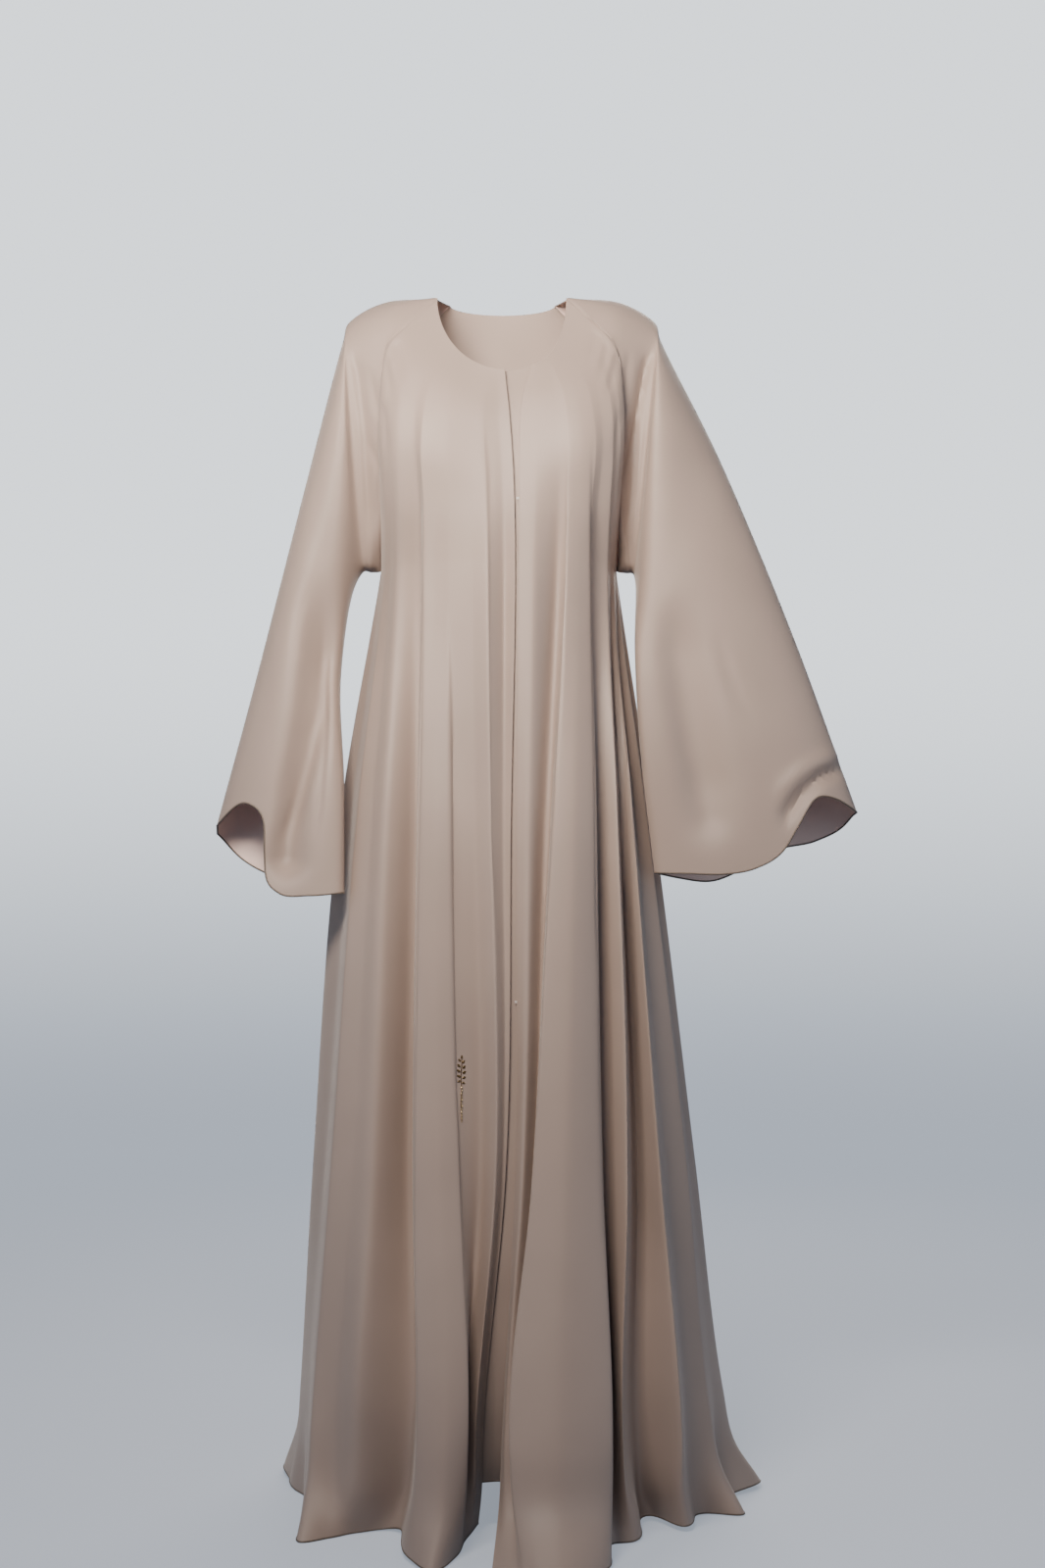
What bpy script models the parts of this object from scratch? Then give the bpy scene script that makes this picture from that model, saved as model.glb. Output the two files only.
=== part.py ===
"""Open-front abaya cloak, worn: two flared fronts, one back, two wide raglan sleeves,
an underlap strip behind the front edges and two snaps. Metres, +Z up, front towards -Y,
the wearer's left on +X. The origin is the middle of the neck base, 1.45 m above the hem."""

import math
from collections import namedtuple

import bpy
from mathutils import Vector

MM = 0.001
WALL = 2.0 * MM
SEAM_GAP = 0.3 * MM

# Heights of the sections that the fold tables give
CHEST_Z = -330 * MM
HIP_Z = -620 * MM
KNEE_Z = -1050 * MM
ANKLE_Z = -1330 * MM
FOOT_Z = -1400 * MM
HEM_Z = -1450 * MM

# Height parameter of each level: 0 neckline, 1 underarm, HEM_ROW hem; one unit is about 33 cm
UNDERARM_ROW = 1.0
HIP_ROW = 1.9
KNEE_ROW = 3.2
ANKLE_ROW = 4.05
FOOT_ROW = 4.28
HEM_ROW = 4.45
UPPER_KNOTS = (0.0, 0.25, 0.5, 0.75)
LOWER_KNOTS = (UNDERARM_ROW, HIP_ROW, KNEE_ROW, ANKLE_ROW, FOOT_ROW, HEM_ROW)

# Mesh rows of the panels and sleeves, and points between one fold line and the next
UPPER_ROWS = 10
LOWER_ROWS = (1.3, 1.6, 1.9, 2.3, 2.75, 3.2, 3.6, 3.9, 4.12, 4.26, 4.37, HEM_ROW)
STEPS_PER_FOLD = 2
NECK_STEPS = 4
SLEEVE_ROWS = 16
SLEEVE_ROW_SPREAD = 1.15

# One fold line: plan place (x, y) in mm of a ridge or valley at four heights. Bow is how far
# the fold stands outside the straight line from chest to knee, at the hip. From the ankle
# the cloth goes this share of its way out to the hem by foot height, and the rest below it
FOOT_SHARE = 0.32
Fold = namedtuple("Fold", ("name", "chest", "bow", "knee", "ankle", "hem"))
FRONT_LEFT_FOLDS = (
    Fold("edge", (20, -124), 0, (16, -176), (2, -230), (-8, -312)),
    Fold("strip", (39, -125), 0, (25, -187), (6, -240), (4, -322)),
    Fold("valley_a", (67, -108), -2, (37, -172), (18, -242), (17, -331)),
    Fold("ridge_a", (76, -117), 2, (36, -199), (11, -268), (32, -346)),
    Fold("broad", (91, -110), 2, (74, -204), (64, -280), (66, -358)),
    Fold("ridge_b", (107, -98), 0, (116, -178), (124, -248), (116, -312)),
    Fold("valley_b", (114, -79), -3, (121, -134), (124, -176), (127, -214)),
    Fold("ridge_c", (127, -66), 2, (146, -157), (138, -206), (150, -196)),
    Fold("valley_c", (131, -48), -2, (160, -101), (156, -150), (174, -122)),
    Fold("ridge_d", (135, -37), 0, (185, -138), (206, -180), (214, -166)),
    Fold("valley_d", (137, -27), -2, (196, -94), (218, -112), (234, -96)),
    Fold("ridge_e", (138.5, -18), 2, (221, -58), (246, -78), (280, -98)),
    Fold("valley_e", (139.5, -9), 0, (226, -26), (254, -36), (276, -36)),
    Fold("side", (140, 0), 5, (236, 8), (270, 14), (314, 26)),
)
FRONT_RIGHT_FOLDS = (
    Fold("edge", (16.5, -124), 0, (5, -172), (-20, -188), (-26, -132)),
    Fold("strip", (3, -117), 0, (1, -174), (-23, -196), (-29, -146)),
    Fold("ridge_f", (-15, -132), 0, (-6, -188), (-28, -214), (-33, -166)),
    Fold("dip", (-34, -126), 0, (-24, -170), (-40, -202), (-40, -198)),
    Fold("ridge_h", (-62, -119), 0, (-46, -194), (-36, -254), (-48, -252)),
    Fold("broad", (-78, -114), 2, (-72, -200), (-60, -268), (-73, -306)),
    Fold("ridge_g", (-93, -112), 2, (-99, -190), (-92, -252), (-101, -268)),
    Fold("valley_g", (-98, -86), -4, (-104, -128), (-101, -174), (-126, -158)),
    Fold("crest_i", (-123, -78), 4, (-147, -158), (-162, -190), (-160, -164)),
    Fold("flank_i", (-134, -56), 4, (-173, -138), (-190, -160), (-190, -184)),
    Fold("ridge_j", (-141, -40), 7, (-199, -118), (-218, -146), (-228, -202)),
    Fold("valley_j", (-146, -20), 9, (-210, -64), (-228, -72), (-224, -92)),
    Fold("side", (-148, 0), 16, (-230, -4), (-246, 8), (-262, 40)),
)
BACK_FOLDS = (
    Fold("side_left", (140, 0), 5, (236, 8), (270, 14), (314, 26)),
    Fold("valley_k", (138, 26), 0, (223, 44), (252, 52), (276, 66)),
    Fold("ridge_k", (131, 52), 3, (226, 96), (256, 116), (288, 136)),
    Fold("valley_l", (118, 74), -2, (180, 108), (196, 128), (208, 146)),
    Fold("ridge_l", (98, 93), 3, (160, 172), (186, 214), (214, 262)),
    Fold("valley_m", (78, 104), -2, (108, 156), (118, 186), (126, 214)),
    Fold("ridge_m", (58, 111), 2, (82, 186), (92, 222), (98, 258)),
    Fold("valley_n", (30, 114), -2, (52, 164), (60, 190), (70, 212)),
    Fold("ridge_n", (-2, 117), 3, (4, 212), (2, 266), (4, 322)),
    Fold("valley_o", (-42, 114), -2, (-62, 168), (-70, 202), (-78, 232)),
    Fold("ridge_o", (-62, 110), 3, (-88, 190), (-98, 228), (-110, 272)),
    Fold("valley_p", (-88, 100), -2, (-118, 142), (-132, 160), (-142, 176)),
    Fold("ridge_p", (-114, 85), 4, (-172, 164), (-202, 202), (-230, 246)),
    Fold("valley_q", (-134, 62), 4, (-190, 112), (-216, 134), (-240, 162)),
    Fold("ridge_q", (-145, 34), 12, (-220, 78), (-246, 96), (-272, 116)),
    Fold("side_right", (-148, 0), 16, (-230, -4), (-246, 8), (-262, 40)),
)

# Softness of the turns at the ridges and at the other fold lines, 1 for round ones
RIDGE_SOFTNESS = 0.4
FOLD_SOFTNESS = 0.85

# Raglan seams of the wearer's left side from neck to underarm, mm; the right ones mirror them
FRONT_RAGLAN = (
    (78, -45, -2), (113, -69, -40), (136, -77, -66), (146, -82, -130),
    (144, -77, -192), (141.5, -44, -272), (140, 0, -330),
)
BACK_RAGLAN = (
    (66, 48, 10), (101, 70, -24), (128, 84, -70), (141, 90, -130),
    (143, 80, -200), (141.5, 46, -276), (140, 0, -330),
)
RIGHT_UNDERARM_X = -148 * MM
RIGHT_UNDERARM_FADE = 3
# Front edges from neckline to underarm level, mm, and the middle of the back
LEFT_EDGE = ((35, -94, -94), (22, -112, -150), (21, -122, -230), (20, -124, -330))
RIGHT_EDGE = ((4, -97, -100), (10, -113, -160), (15, -122, -240), (16.5, -124, -330))
BACK_MIDDLE = ((0, 70, 2), (0, 98, -80), (0, 116, -180), (0, 118, -330))

# Powers that say how fast the round neckline gives way to the underarm section, across and
# deep, and how near the side seam the cloth starts to hang free of the armhole
ACROSS_FADE = 2.2
DEPTH_FADE = 1.5
FREE_HANG_FADE = 4

# Soft forms on each side that the panels hang over: place, radii and height
Form = namedtuple("Form", ("x", "z", "wide", "tall", "out"))
BUST = Form(82 * MM, -175 * MM, 55 * MM, 75 * MM, 13 * MM)
SHOULDER_BLADE = Form(75 * MM, -130 * MM, 60 * MM, 80 * MM, 8 * MM)

# Sleeve sections from armhole (share 0) to cuff (share 1): the under fold and the top line
# of each section, and how far its front and back stand off the line between them, mm
Section = namedtuple("Section", ("share", "under", "top", "front", "back"))
LEFT_SLEEVE_SECTIONS = (
    Section(0.10, (152, 0, -331), (138, 0, 0), 74, 74),
    Section(0.20, (161, -4, -333), (186, 0, -24), 56, 66),
    Section(0.28, (163, -16, -346), (193, 0, -46), 66, 62),
    Section(0.50, (160, -60, -432), (265, -6, -192), 42, 56),
    Section(0.75, (166, -72, -552), (354, -16, -410), 36, 50),
    Section(1.00, (183, -66, -698), (430, -28, -626), 34, 42),
)
RIGHT_SLEEVE_SECTIONS = (
    Section(0.10, (-160, 0, -330), (-138, 0, 0), 74, 74),
    Section(0.20, (-171, -4, -331), (-186, 0, -24), 60, 66),
    Section(0.28, (-180, -14, -350), (-193, 0, -46), 64, 62),
    Section(0.50, (-195, -34, -460), (-240, -6, -228), 48, 54),
    Section(0.75, (-188, -74, -590), (-300, -18, -466), 44, 48),
    Section(1.00, (-186, -92, -721), (-348, -30, -650), 38, 42),
)
# A section is fuller at the top line than at the under fold
SECTION_ROUNDNESS = 0.8
UNDER_FULLNESS = 0.45
MEAN_FULLNESS = 0.77
# The neckline between the front and back seams, on top of the sleeve, bows out and up
NECK_BOW_OUT = 6 * MM
NECK_BOW_UP = 2 * MM

# How far the cuff hangs below the straight line from its lowest corner to the wrist:
# share of the way to the wrist, and drop in mm
CuffPoint = namedtuple("CuffPoint", ("along", "drop"))
LEFT_CUFF_FRONT = (
    CuffPoint(0, 0), CuffPoint(0.15, 12), CuffPoint(0.3, 24), CuffPoint(0.45, 28), CuffPoint(0.6, 17),
    CuffPoint(0.7, -6), CuffPoint(0.83, -32), CuffPoint(0.92, -22), CuffPoint(1, 0),
)
LEFT_CUFF_BACK = (
    CuffPoint(0, 0), CuffPoint(0.1, 14), CuffPoint(0.25, 30), CuffPoint(0.4, 28), CuffPoint(0.6, 17),
    CuffPoint(0.8, 20), CuffPoint(0.95, 10), CuffPoint(1, 0),
)
RIGHT_CUFF_FRONT = (
    CuffPoint(0, 0), CuffPoint(0.2, 19), CuffPoint(0.4, 31), CuffPoint(0.52, 20), CuffPoint(0.6, -6),
    CuffPoint(0.68, -36), CuffPoint(0.8, -50), CuffPoint(0.92, -40), CuffPoint(1, -8),
)
RIGHT_CUFF_BACK = (
    CuffPoint(0, 0), CuffPoint(0.2, 10), CuffPoint(0.5, 20), CuffPoint(0.8, 16), CuffPoint(1, 0),
)
# Share of the sleeve's length, up from the cuff, over which that drop dies away
CUFF_ZONE = 0.45

# Large troughs in the sleeve fronts: points (x, z) in mm along each, depth and half width.
# Each fades in from its first point to its second
Trough = namedtuple("Trough", ("line", "deep", "wide"))
LEFT_SLEEVE_TROUGH = Trough(((196, -360), (214, -440), (228, -530), (246, -630)), 9 * MM, 26 * MM)
RIGHT_SLEEVE_TROUGH = Trough(
    ((-219, -330), (-220, -440), (-228, -520), (-244, -600), (-254, -680)), 22 * MM, 20 * MM
)

# 1 where a piece's grid normals point into the garment, -1 where they point out
FACING = {"front_left": 1, "back": 1, "sleeve_left": 1, "front_right": -1, "sleeve_right": -1}
# A bend makes the way through the wall longer, by one part in this at most
LEAST_BEND = 0.7
SHARP_ANGLE = math.radians(50)

SNAP_RADIUS = 3.5 * MM
SNAP_DISC = 0.8 * MM
SNAP_CLEAR = 0.6 * MM
SNAP_IN_FROM_EDGE = 3.6 * MM
SNAP_SIDES = 20
SNAP_HEIGHTS = (("snap_upper", -257 * MM), ("snap_lower", -845 * MM))

# The underlap follows the fronts' own points near their edges, from behind: the front, its
# column of points from the edge, and how far behind the strip lies. Snaps fill the wider part
BEHIND_RIGHT = WALL + SEAM_GAP
BEHIND_SNAPS = WALL + 2 * SNAP_DISC + 3 * SNAP_CLEAR
StripColumn = namedtuple("StripColumn", ("front", "column", "behind"))
UNDERLAP_COLUMNS = (
    StripColumn("front_right", 2, BEHIND_RIGHT), StripColumn("front_right", 1, BEHIND_RIGHT),
    StripColumn("front_right", 0, BEHIND_SNAPS), StripColumn("front_left", 0, BEHIND_SNAPS),
    StripColumn("front_left", 1, BEHIND_SNAPS), StripColumn("front_left", 2, BEHIND_SNAPS),
)
# Below the lower snap the strip stops following the left front and hangs free, beside and
# behind the right front's edge, down to its own hem
UNDERLAP_FREE_FROM = 2.75
UNDERLAP_FREE_BY = 3.6
UNDERLAP_LAST_ROW = 4.26
UNDERLAP_FREE_STEP = 10 * MM
UNDERLAP_FREE_DEPTH = 7 * MM

CREPE_COLOUR = (0.52, 0.42, 0.36, 1.0)
SNAP_COLOUR = (0.70, 0.68, 0.64, 1.0)


def vector_mm(values):
    return Vector(values) * MM


def cubic_through(knots, values, at, softness=None):
    """Smooth curve through values at rising knots, read at one place. Less softness at a
    knot makes it turn more tightly there."""
    last = len(knots) - 1
    index = 0
    while index < last - 1 and at > knots[index + 1]:
        index += 1

    def slope(place):
        low = max(place - 1, 0)
        high = min(place + 1, last)
        if low == place or high == place:
            return (values[high] - values[low]) / (knots[high] - knots[low])
        before = (values[place] - values[low]) / (knots[place] - knots[low])
        after = (values[high] - values[place]) / (knots[high] - knots[place])
        share = (knots[place] - knots[low]) / (knots[high] - knots[low])
        return (before * (1 - share) + after * share) * (softness[place] if softness else 1.0)

    span = knots[index + 1] - knots[index]
    t = (at - knots[index]) / span
    return (
        values[index] * (2 * t**3 - 3 * t**2 + 1)
        + slope(index) * span * (t**3 - 2 * t**2 + t)
        + values[index + 1] * (3 * t**2 - 2 * t**3)
        + slope(index + 1) * span * (t**3 - t**2)
    )


def knots_of(points):
    """Rising knots of a point list, by the root of each chord, so close points do not loop."""
    knots = [0.0]
    for here, there in zip(points, points[1:]):
        knots.append(knots[-1] + max(math.sqrt((there - here).length), 1e-4))
    return knots


def curve_at(points, share):
    """Point at a share of the way along a smooth curve through points given in mm."""
    vectors = [vector_mm(point) for point in points]
    knots = knots_of(vectors)
    return cubic_through(knots, vectors, knots[-1] * share)


def section_samples(chain, first, last, steps, softness=()):
    """Points along the chain's smooth curve from control point first to last. Softness says
    for each control point how roundly the cloth turns there."""
    knots = knots_of(chain)
    softness = softness or [1.0] * len(chain)
    samples = []
    for index in range(first, last):
        for step in range(steps):
            at = knots[index] + (knots[index + 1] - knots[index]) * step / steps
            samples.append(cubic_through(knots, chain, at, softness))
    samples.append(chain[last].copy())
    return samples


def shares_along(points):
    """Each point's share of the length of the line through all of them."""
    total = [0.0]
    for here, there in zip(points, points[1:]):
        total.append(total[-1] + (there - here).length)
    return [length / total[-1] for length in total]


def lower_controls(fold):
    """Control points of one fold line from underarm level to hem."""
    share = (CHEST_Z - HIP_Z) / (CHEST_Z - KNEE_Z)
    hip = Vector(fold.chest).lerp(Vector(fold.knee), share)
    hip += hip.normalized() * fold.bow
    foot = Vector(fold.ankle).lerp(Vector(fold.hem), FOOT_SHARE)
    places = (fold.chest, hip, fold.knee, fold.ankle, foot, fold.hem)
    heights = (CHEST_Z, HIP_Z, KNEE_Z, ANKLE_Z, FOOT_Z, HEM_Z)
    return [Vector((x * MM, y * MM, height)) for (x, y), height in zip(places, heights)]


def upper_point(flat, round_share, row, start, end):
    """Point of the bodice between its start edge and end edge at one height. Flat holds the
    point's shares across and deep at underarm level, round_share its share round the neck."""
    up = 1.0 - row
    turn = round_share * math.pi / 2
    across = flat[0] + (math.sin(turn) - flat[0]) * up**ACROSS_FADE
    depth = flat[1] + (math.cos(turn) - flat[1]) * up**DEPTH_FADE
    rise = 1 - math.cos(turn)
    return Vector((
        start.x + (end.x - start.x) * across,
        end.y + (start.y - end.y) * depth,
        start.z + (end.z - start.z) * rise,
    ))


def raglan(side, face, row):
    """Point of a raglan seam; row 0 is the neck and row 1 the underarm."""
    point = curve_at(FRONT_RAGLAN if face == "front" else BACK_RAGLAN, row)
    if side == "right":
        shift = RIGHT_UNDERARM_X + FRONT_RAGLAN[-1][0] * MM
        point.x = -point.x + shift * row**RIGHT_UNDERARM_FADE
    return point


def swollen(point, form, towards, share):
    """Moves a point by a soft form on either side, fading out at both edges of the panel."""
    across = (abs(point.x) - form.x) / form.wide
    up = (point.z - form.z) / form.tall
    fade = math.sqrt(max(0.0, math.sin(math.pi * share)))
    point.y += towards * form.out * math.exp(-across * across - up * up) * fade
    return point


def below_arm(upper, lower, share):
    """Control points from just above the underarm down; near the side seam the cloth
    hangs free of the armhole's slope."""
    span = (UNDERARM_ROW - UPPER_KNOTS[-1]) / (HIP_ROW - UNDERARM_ROW)
    free = lower[0] - (lower[1] - lower[0]) * span
    return [upper[-1].lerp(free, share**FREE_HANG_FADE)] + lower


def front_columns(side):
    """Control columns of a front: for each fold, its points from neckline to hem and those
    used below the arm."""
    folds = FRONT_LEFT_FOLDS if side == "left" else FRONT_RIGHT_FOLDS
    edge = LEFT_EDGE if side == "left" else RIGHT_EDGE
    lowers = [lower_controls(fold) for fold in folds]
    chest = [column[0] for column in lowers]
    first, last = chest[0], chest[-1]
    columns = []
    for share, place, lower in zip(shares_along(chest), chest, lowers):
        flat = ((place.x - first.x) / (last.x - first.x), (place.y - last.y) / (first.y - last.y))
        upper = []
        for row in UPPER_KNOTS:
            point = upper_point(flat, share, row, curve_at(edge, row), raglan(side, "front", row))
            upper.append(swollen(point, BUST, -1, share))
        columns.append((upper + lower, below_arm(upper, lower, share)))
    return columns


def back_columns():
    """Control columns of the back, from the wearer's left side seam to the right one."""
    lowers = [lower_controls(fold) for fold in BACK_FOLDS]
    chest = [column[0] for column in lowers]
    deepest = curve_at(BACK_MIDDLE, 1.0).y
    columns = []
    for share, place, lower in zip(shares_along(chest), chest, lowers):
        side, last = ("left", chest[0]) if share < 0.5 else ("right", chest[-1])
        from_middle = abs(share - 0.5) * 2
        flat = (place.x / last.x, (place.y - last.y) / (deepest - last.y))
        upper = []
        for row in UPPER_KNOTS:
            end = raglan(side, "back", row)
            point = upper_point(flat, from_middle, row, curve_at(BACK_MIDDLE, row), end)
            upper.append(swollen(point, SHOULDER_BLADE, 1, share))
        columns.append((upper + lower, below_arm(upper, lower, from_middle)))
    return columns


def chain_at(columns, row):
    """The fold lines' points at one height."""
    if row < UNDERARM_ROW:
        return [cubic_through(UPPER_KNOTS + LOWER_KNOTS, full, row) for full, below in columns]
    return [cubic_through(UPPER_KNOTS[-1:] + LOWER_KNOTS, below, row) for full, below in columns]


def panel_rows():
    upper = [UNDERARM_ROW * step / UPPER_ROWS for step in range(UPPER_ROWS + 1)]
    return upper + list(LOWER_ROWS)


def softness_of(folds):
    """How roundly the cloth turns at each fold line of a panel."""
    return [RIDGE_SOFTNESS if fold.name.startswith("ridge") else FOLD_SOFTNESS for fold in folds]


def panel_grids(rows, steps):
    """Middle surfaces of both fronts and the back, as rows of points. Below the underarm one
    smooth ring runs through all three."""
    left = front_columns("left")
    right = front_columns("right")
    back = back_columns()
    soft_left = softness_of(FRONT_LEFT_FOLDS)
    soft_right = softness_of(FRONT_RIGHT_FOLDS)
    soft_back = softness_of(BACK_FOLDS)
    soft_ring = soft_left + soft_back[1:-1] + soft_right[::-1]
    seam_left = len(left) - 1
    seam_right = seam_left + len(back) - 1
    grids = {"front_left": [], "front_right": [], "back": []}
    for row in rows:
        left_chain = chain_at(left, row)
        right_chain = chain_at(right, row)
        back_chain = chain_at(back, row)
        if row >= UNDERARM_ROW:
            ring = left_chain + back_chain[1:-1] + right_chain[::-1]
            grids["front_left"].append(section_samples(ring, 0, seam_left, steps, soft_ring))
            grids["back"].append(section_samples(ring, seam_left, seam_right, steps, soft_ring))
            right_part = section_samples(ring, seam_right, len(ring) - 1, steps, soft_ring)
            grids["front_right"].append(right_part[::-1])
        else:
            left_chain[-1] = raglan("left", "front", row)
            right_chain[-1] = raglan("right", "front", row)
            back_chain[0] = raglan("left", "back", row)
            back_chain[-1] = raglan("right", "back", row)
            softs = (soft_left, soft_right, soft_back)
            for name, chain, soft in zip(grids, (left_chain, right_chain, back_chain), softs):
                grids[name].append(section_samples(chain, 0, len(chain) - 1, steps, soft))
    return grids


def cuff_drop(table, along):
    """Smooth drop of a cuff at a share of the way to the wrist."""
    knots = [point.along for point in table]
    drops = [point.drop for point in table]
    return cubic_through(knots, drops, along) * MM


def sleeve_section(section, turn, cuffs):
    """Point of one sleeve section; turn runs once round from the under fold, front first."""
    along = (1 - math.cos(turn)) / 2
    side = math.sin(turn)
    low = vector_mm(section.under)
    high = vector_mm(section.top)
    point = low.lerp(high, along)
    fullness = UNDER_FULLNESS + (1 - UNDER_FULLNESS) * along
    stand_off = -section.front if side > 0 else section.back
    point.y += stand_off * MM * abs(side) ** SECTION_ROUNDNESS * fullness / MEAN_FULLNESS
    chord = high - low
    hang = Vector((chord.z, 0, -chord.x)).normalized()
    if hang.z > 0:
        hang = -hang
    zone = max(0.0, (section.share - (1 - CUFF_ZONE)) / CUFF_ZONE)
    drop = cuff_drop(cuffs[0] if side > 0 else cuffs[1], along)
    return point + hang * drop * zone * zone


def trough_depth(point, trough):
    """How far the cloth sinks in at a point of the sleeve's front."""
    line = [Vector((x * MM, z * MM)) for x, z in trough.line]
    place = Vector((point.x, point.z))
    distances = []
    shares = []
    for here, there in zip(line, line[1:]):
        along = there - here
        share = (place - here).dot(along) / along.length_squared
        shares.append(min(max(share, 0.0), 1.0))
        distances.append((place - (here + along * shares[-1])).length)
    fade = shares[0] ** 2 * (3 - 2 * shares[0])
    return trough.deep * fade * math.exp(-((min(distances) / trough.wide) ** 2))


def armhole_loop(side, rows):
    """The sleeve's first ring: up the front raglan seam, over the neck, down the back."""
    front = [raglan(side, "front", row) for row in reversed(rows)]
    back = [raglan(side, "back", row) for row in rows]
    neck = []
    for step in range(1, NECK_STEPS):
        share = step / NECK_STEPS
        bow = math.sin(math.pi * share)
        point = front[-1].lerp(back[0], share)
        point.x += math.copysign(NECK_BOW_OUT, point.x) * bow
        point.z += NECK_BOW_UP * bow
        neck.append(point)
    return front + neck + back[:-1]


def turns_round(loop):
    """Angle of each armhole point from its height, so the rings stay level with the seam."""
    low = loop[0].z
    top_index = max(range(len(loop)), key=lambda index: loop[index].z)
    span = loop[top_index].z - low
    turns = []
    for index, point in enumerate(loop):
        height = min(max((point.z - low) / span, 0.0), 1.0)
        turn = math.acos(1 - 2 * height)
        turns.append(turn if index <= top_index else 2 * math.pi - turn)
    return turns


def sleeve_grid(side, rows, sections_along):
    """Rings of a sleeve's middle surface from armhole to cuff."""
    if side == "left":
        sections, trough = LEFT_SLEEVE_SECTIONS, LEFT_SLEEVE_TROUGH
        cuffs = (LEFT_CUFF_FRONT, LEFT_CUFF_BACK)
    else:
        sections, trough = RIGHT_SLEEVE_SECTIONS, RIGHT_SLEEVE_TROUGH
        cuffs = (RIGHT_CUFF_FRONT, RIGHT_CUFF_BACK)
    first = armhole_loop(side, rows)
    count = len(first)
    turns = turns_round(first)
    knots = [0.0] + [section.share for section in sections]
    keys = [first]
    for section in sections:
        keys.append([sleeve_section(section, turn, cuffs) for turn in turns])
    grid = []
    for step in range(sections_along + 1):
        share = (step / sections_along) ** SLEEVE_ROW_SPREAD
        ring = []
        for index in range(count):
            point = cubic_through(knots, [key[index] for key in keys], share)
            if 0 < index < count / 2:
                point.y += trough_depth(point, trough)
            ring.append(point)
        grid.append(ring)
    return grid


def way_through(before, here, after):
    """Sum of the directions of a line of points before and after one of them."""
    way = Vector((0, 0, 0))
    if before is not None:
        way += (here - before).normalized()
    if after is not None:
        way += (after - here).normalized()
    return way


def grid_normals(grid, closed):
    """Direction through the wall at each point of a grid, longer where the cloth bends
    sharply, so that the wall keeps its thickness."""
    rows = len(grid)
    columns = len(grid[0])
    normals = []
    for row in range(rows):
        line = []
        for column in range(columns):
            here = grid[row][column]
            above = grid[row - 1][column] if row > 0 else None
            below = grid[row + 1][column] if row < rows - 1 else None
            before = grid[row][column - 1] if closed or column > 0 else None
            after = grid[row][(column + 1) % columns] if closed or column < columns - 1 else None
            down = way_through(above, here, below)
            across = way_through(before, here, after)
            bend = across.length / 2 if before is not None and after is not None else 1.0
            line.append(across.cross(down).normalized() / max(bend, LEAST_BEND))
        normals.append(line)
    return normals


def share_normals(normals, places):
    """Gives all the pieces that meet at a seam point one direction through the wall."""
    total = Vector((0, 0, 0))
    for name, row, column in places:
        total += normals[name][row][column] * FACING[name]
    total.normalize()
    for name, row, column in places:
        normals[name][row][column] = total * FACING[name]


def match_seams(grids, normals):
    """Gives the walls one direction along the side seams and round the armholes."""
    ring = len(grids["sleeve_left"][0])
    for side, back_column in (("left", 0), ("right", -1)):
        front = "front_" + side
        sleeve = "sleeve_" + side
        for row in range(len(grids["back"])):
            front_place = (front, row, -1)
            back_place = ("back", row, back_column)
            if row > UPPER_ROWS:
                share_normals(normals, [front_place, back_place])
            elif row == UPPER_ROWS:
                share_normals(normals, [front_place, back_place, (sleeve, 0, 0)])
            else:
                share_normals(normals, [front_place, (sleeve, 0, UPPER_ROWS - row)])
                behind = (UPPER_ROWS + NECK_STEPS + row) % ring
                share_normals(normals, [back_place, (sleeve, 0, behind)])


def pull_edge(grid, normals, places, inner_places, corner):
    """Moves an edge line of points along the cloth, square to the seam and away from it. The
    corner is where three pieces meet. An edge line without an end closes on itself."""
    closed = places[0][0] == places[-1][0]
    count = len(places)
    moved = []
    for index, (row, column) in enumerate(places):
        here = grid[row][column]
        before = after = None
        if index > 0 or closed:
            before = grid[places[index - 1][0]][places[index - 1][1]]
        if index < count - 1 or closed:
            there = places[(index + 1) % count]
            after = grid[there[0]][there[1]]
        square = way_through(before, here, after).cross(normals[row][column]).normalized()
        inner_row, inner_column = inner_places[index]
        if square.dot(grid[inner_row][inner_column] - here) < 0:
            square = -square
        moved.append(here + square * (SEAM_GAP if index == corner else SEAM_GAP / 2))
    for (row, column), point in zip(places, moved):
        grid[row][column] = point


def open_seams(grids, normals):
    """Parts the pieces at their seams by the seam gap."""
    back_last = len(grids["back"][0]) - 1
    ring = range(len(grids["sleeve_left"][0]))
    every = range(len(grids["back"]))
    for name, column, inner in (
        ("front_left", len(grids["front_left"][0]) - 1, -2),
        ("front_right", len(grids["front_right"][0]) - 1, -2),
        ("back", 0, 1),
        ("back", back_last, -2),
    ):
        edge = [(row, column) for row in every]
        beside = [(row, inner) for row in every]
        pull_edge(grids[name], normals[name], edge, beside, UPPER_ROWS)
    for name in ("sleeve_left", "sleeve_right"):
        edge = [(0, place) for place in ring]
        beside = [(1, place) for place in ring]
        pull_edge(grids[name], normals[name], edge, beside, 0)


def wall_faces(grid, closed):
    """Triangles of both sides of a wall, split along the same diagonal so that they stay
    apart where the cloth twists."""
    columns = len(grid[0])
    count = len(grid) * columns
    faces = []
    for row in range(len(grid) - 1):
        for column in range(columns if closed else columns - 1):
            after = (column + 1) % columns
            corners = [
                row * columns + column, row * columns + after,
                (row + 1) * columns + after, (row + 1) * columns + column,
            ]
            falling = (grid[row][column] - grid[row + 1][after]).length
            rising = (grid[row][after] - grid[row + 1][column]).length
            if rising < falling:
                corners = corners[1:] + corners[:1]
            first, second, third, fourth = corners
            for triangle in ((first, second, third), (first, third, fourth)):
                faces.append(list(triangle))
                faces.append([count + index for index in triangle[::-1]])
    return faces


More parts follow.
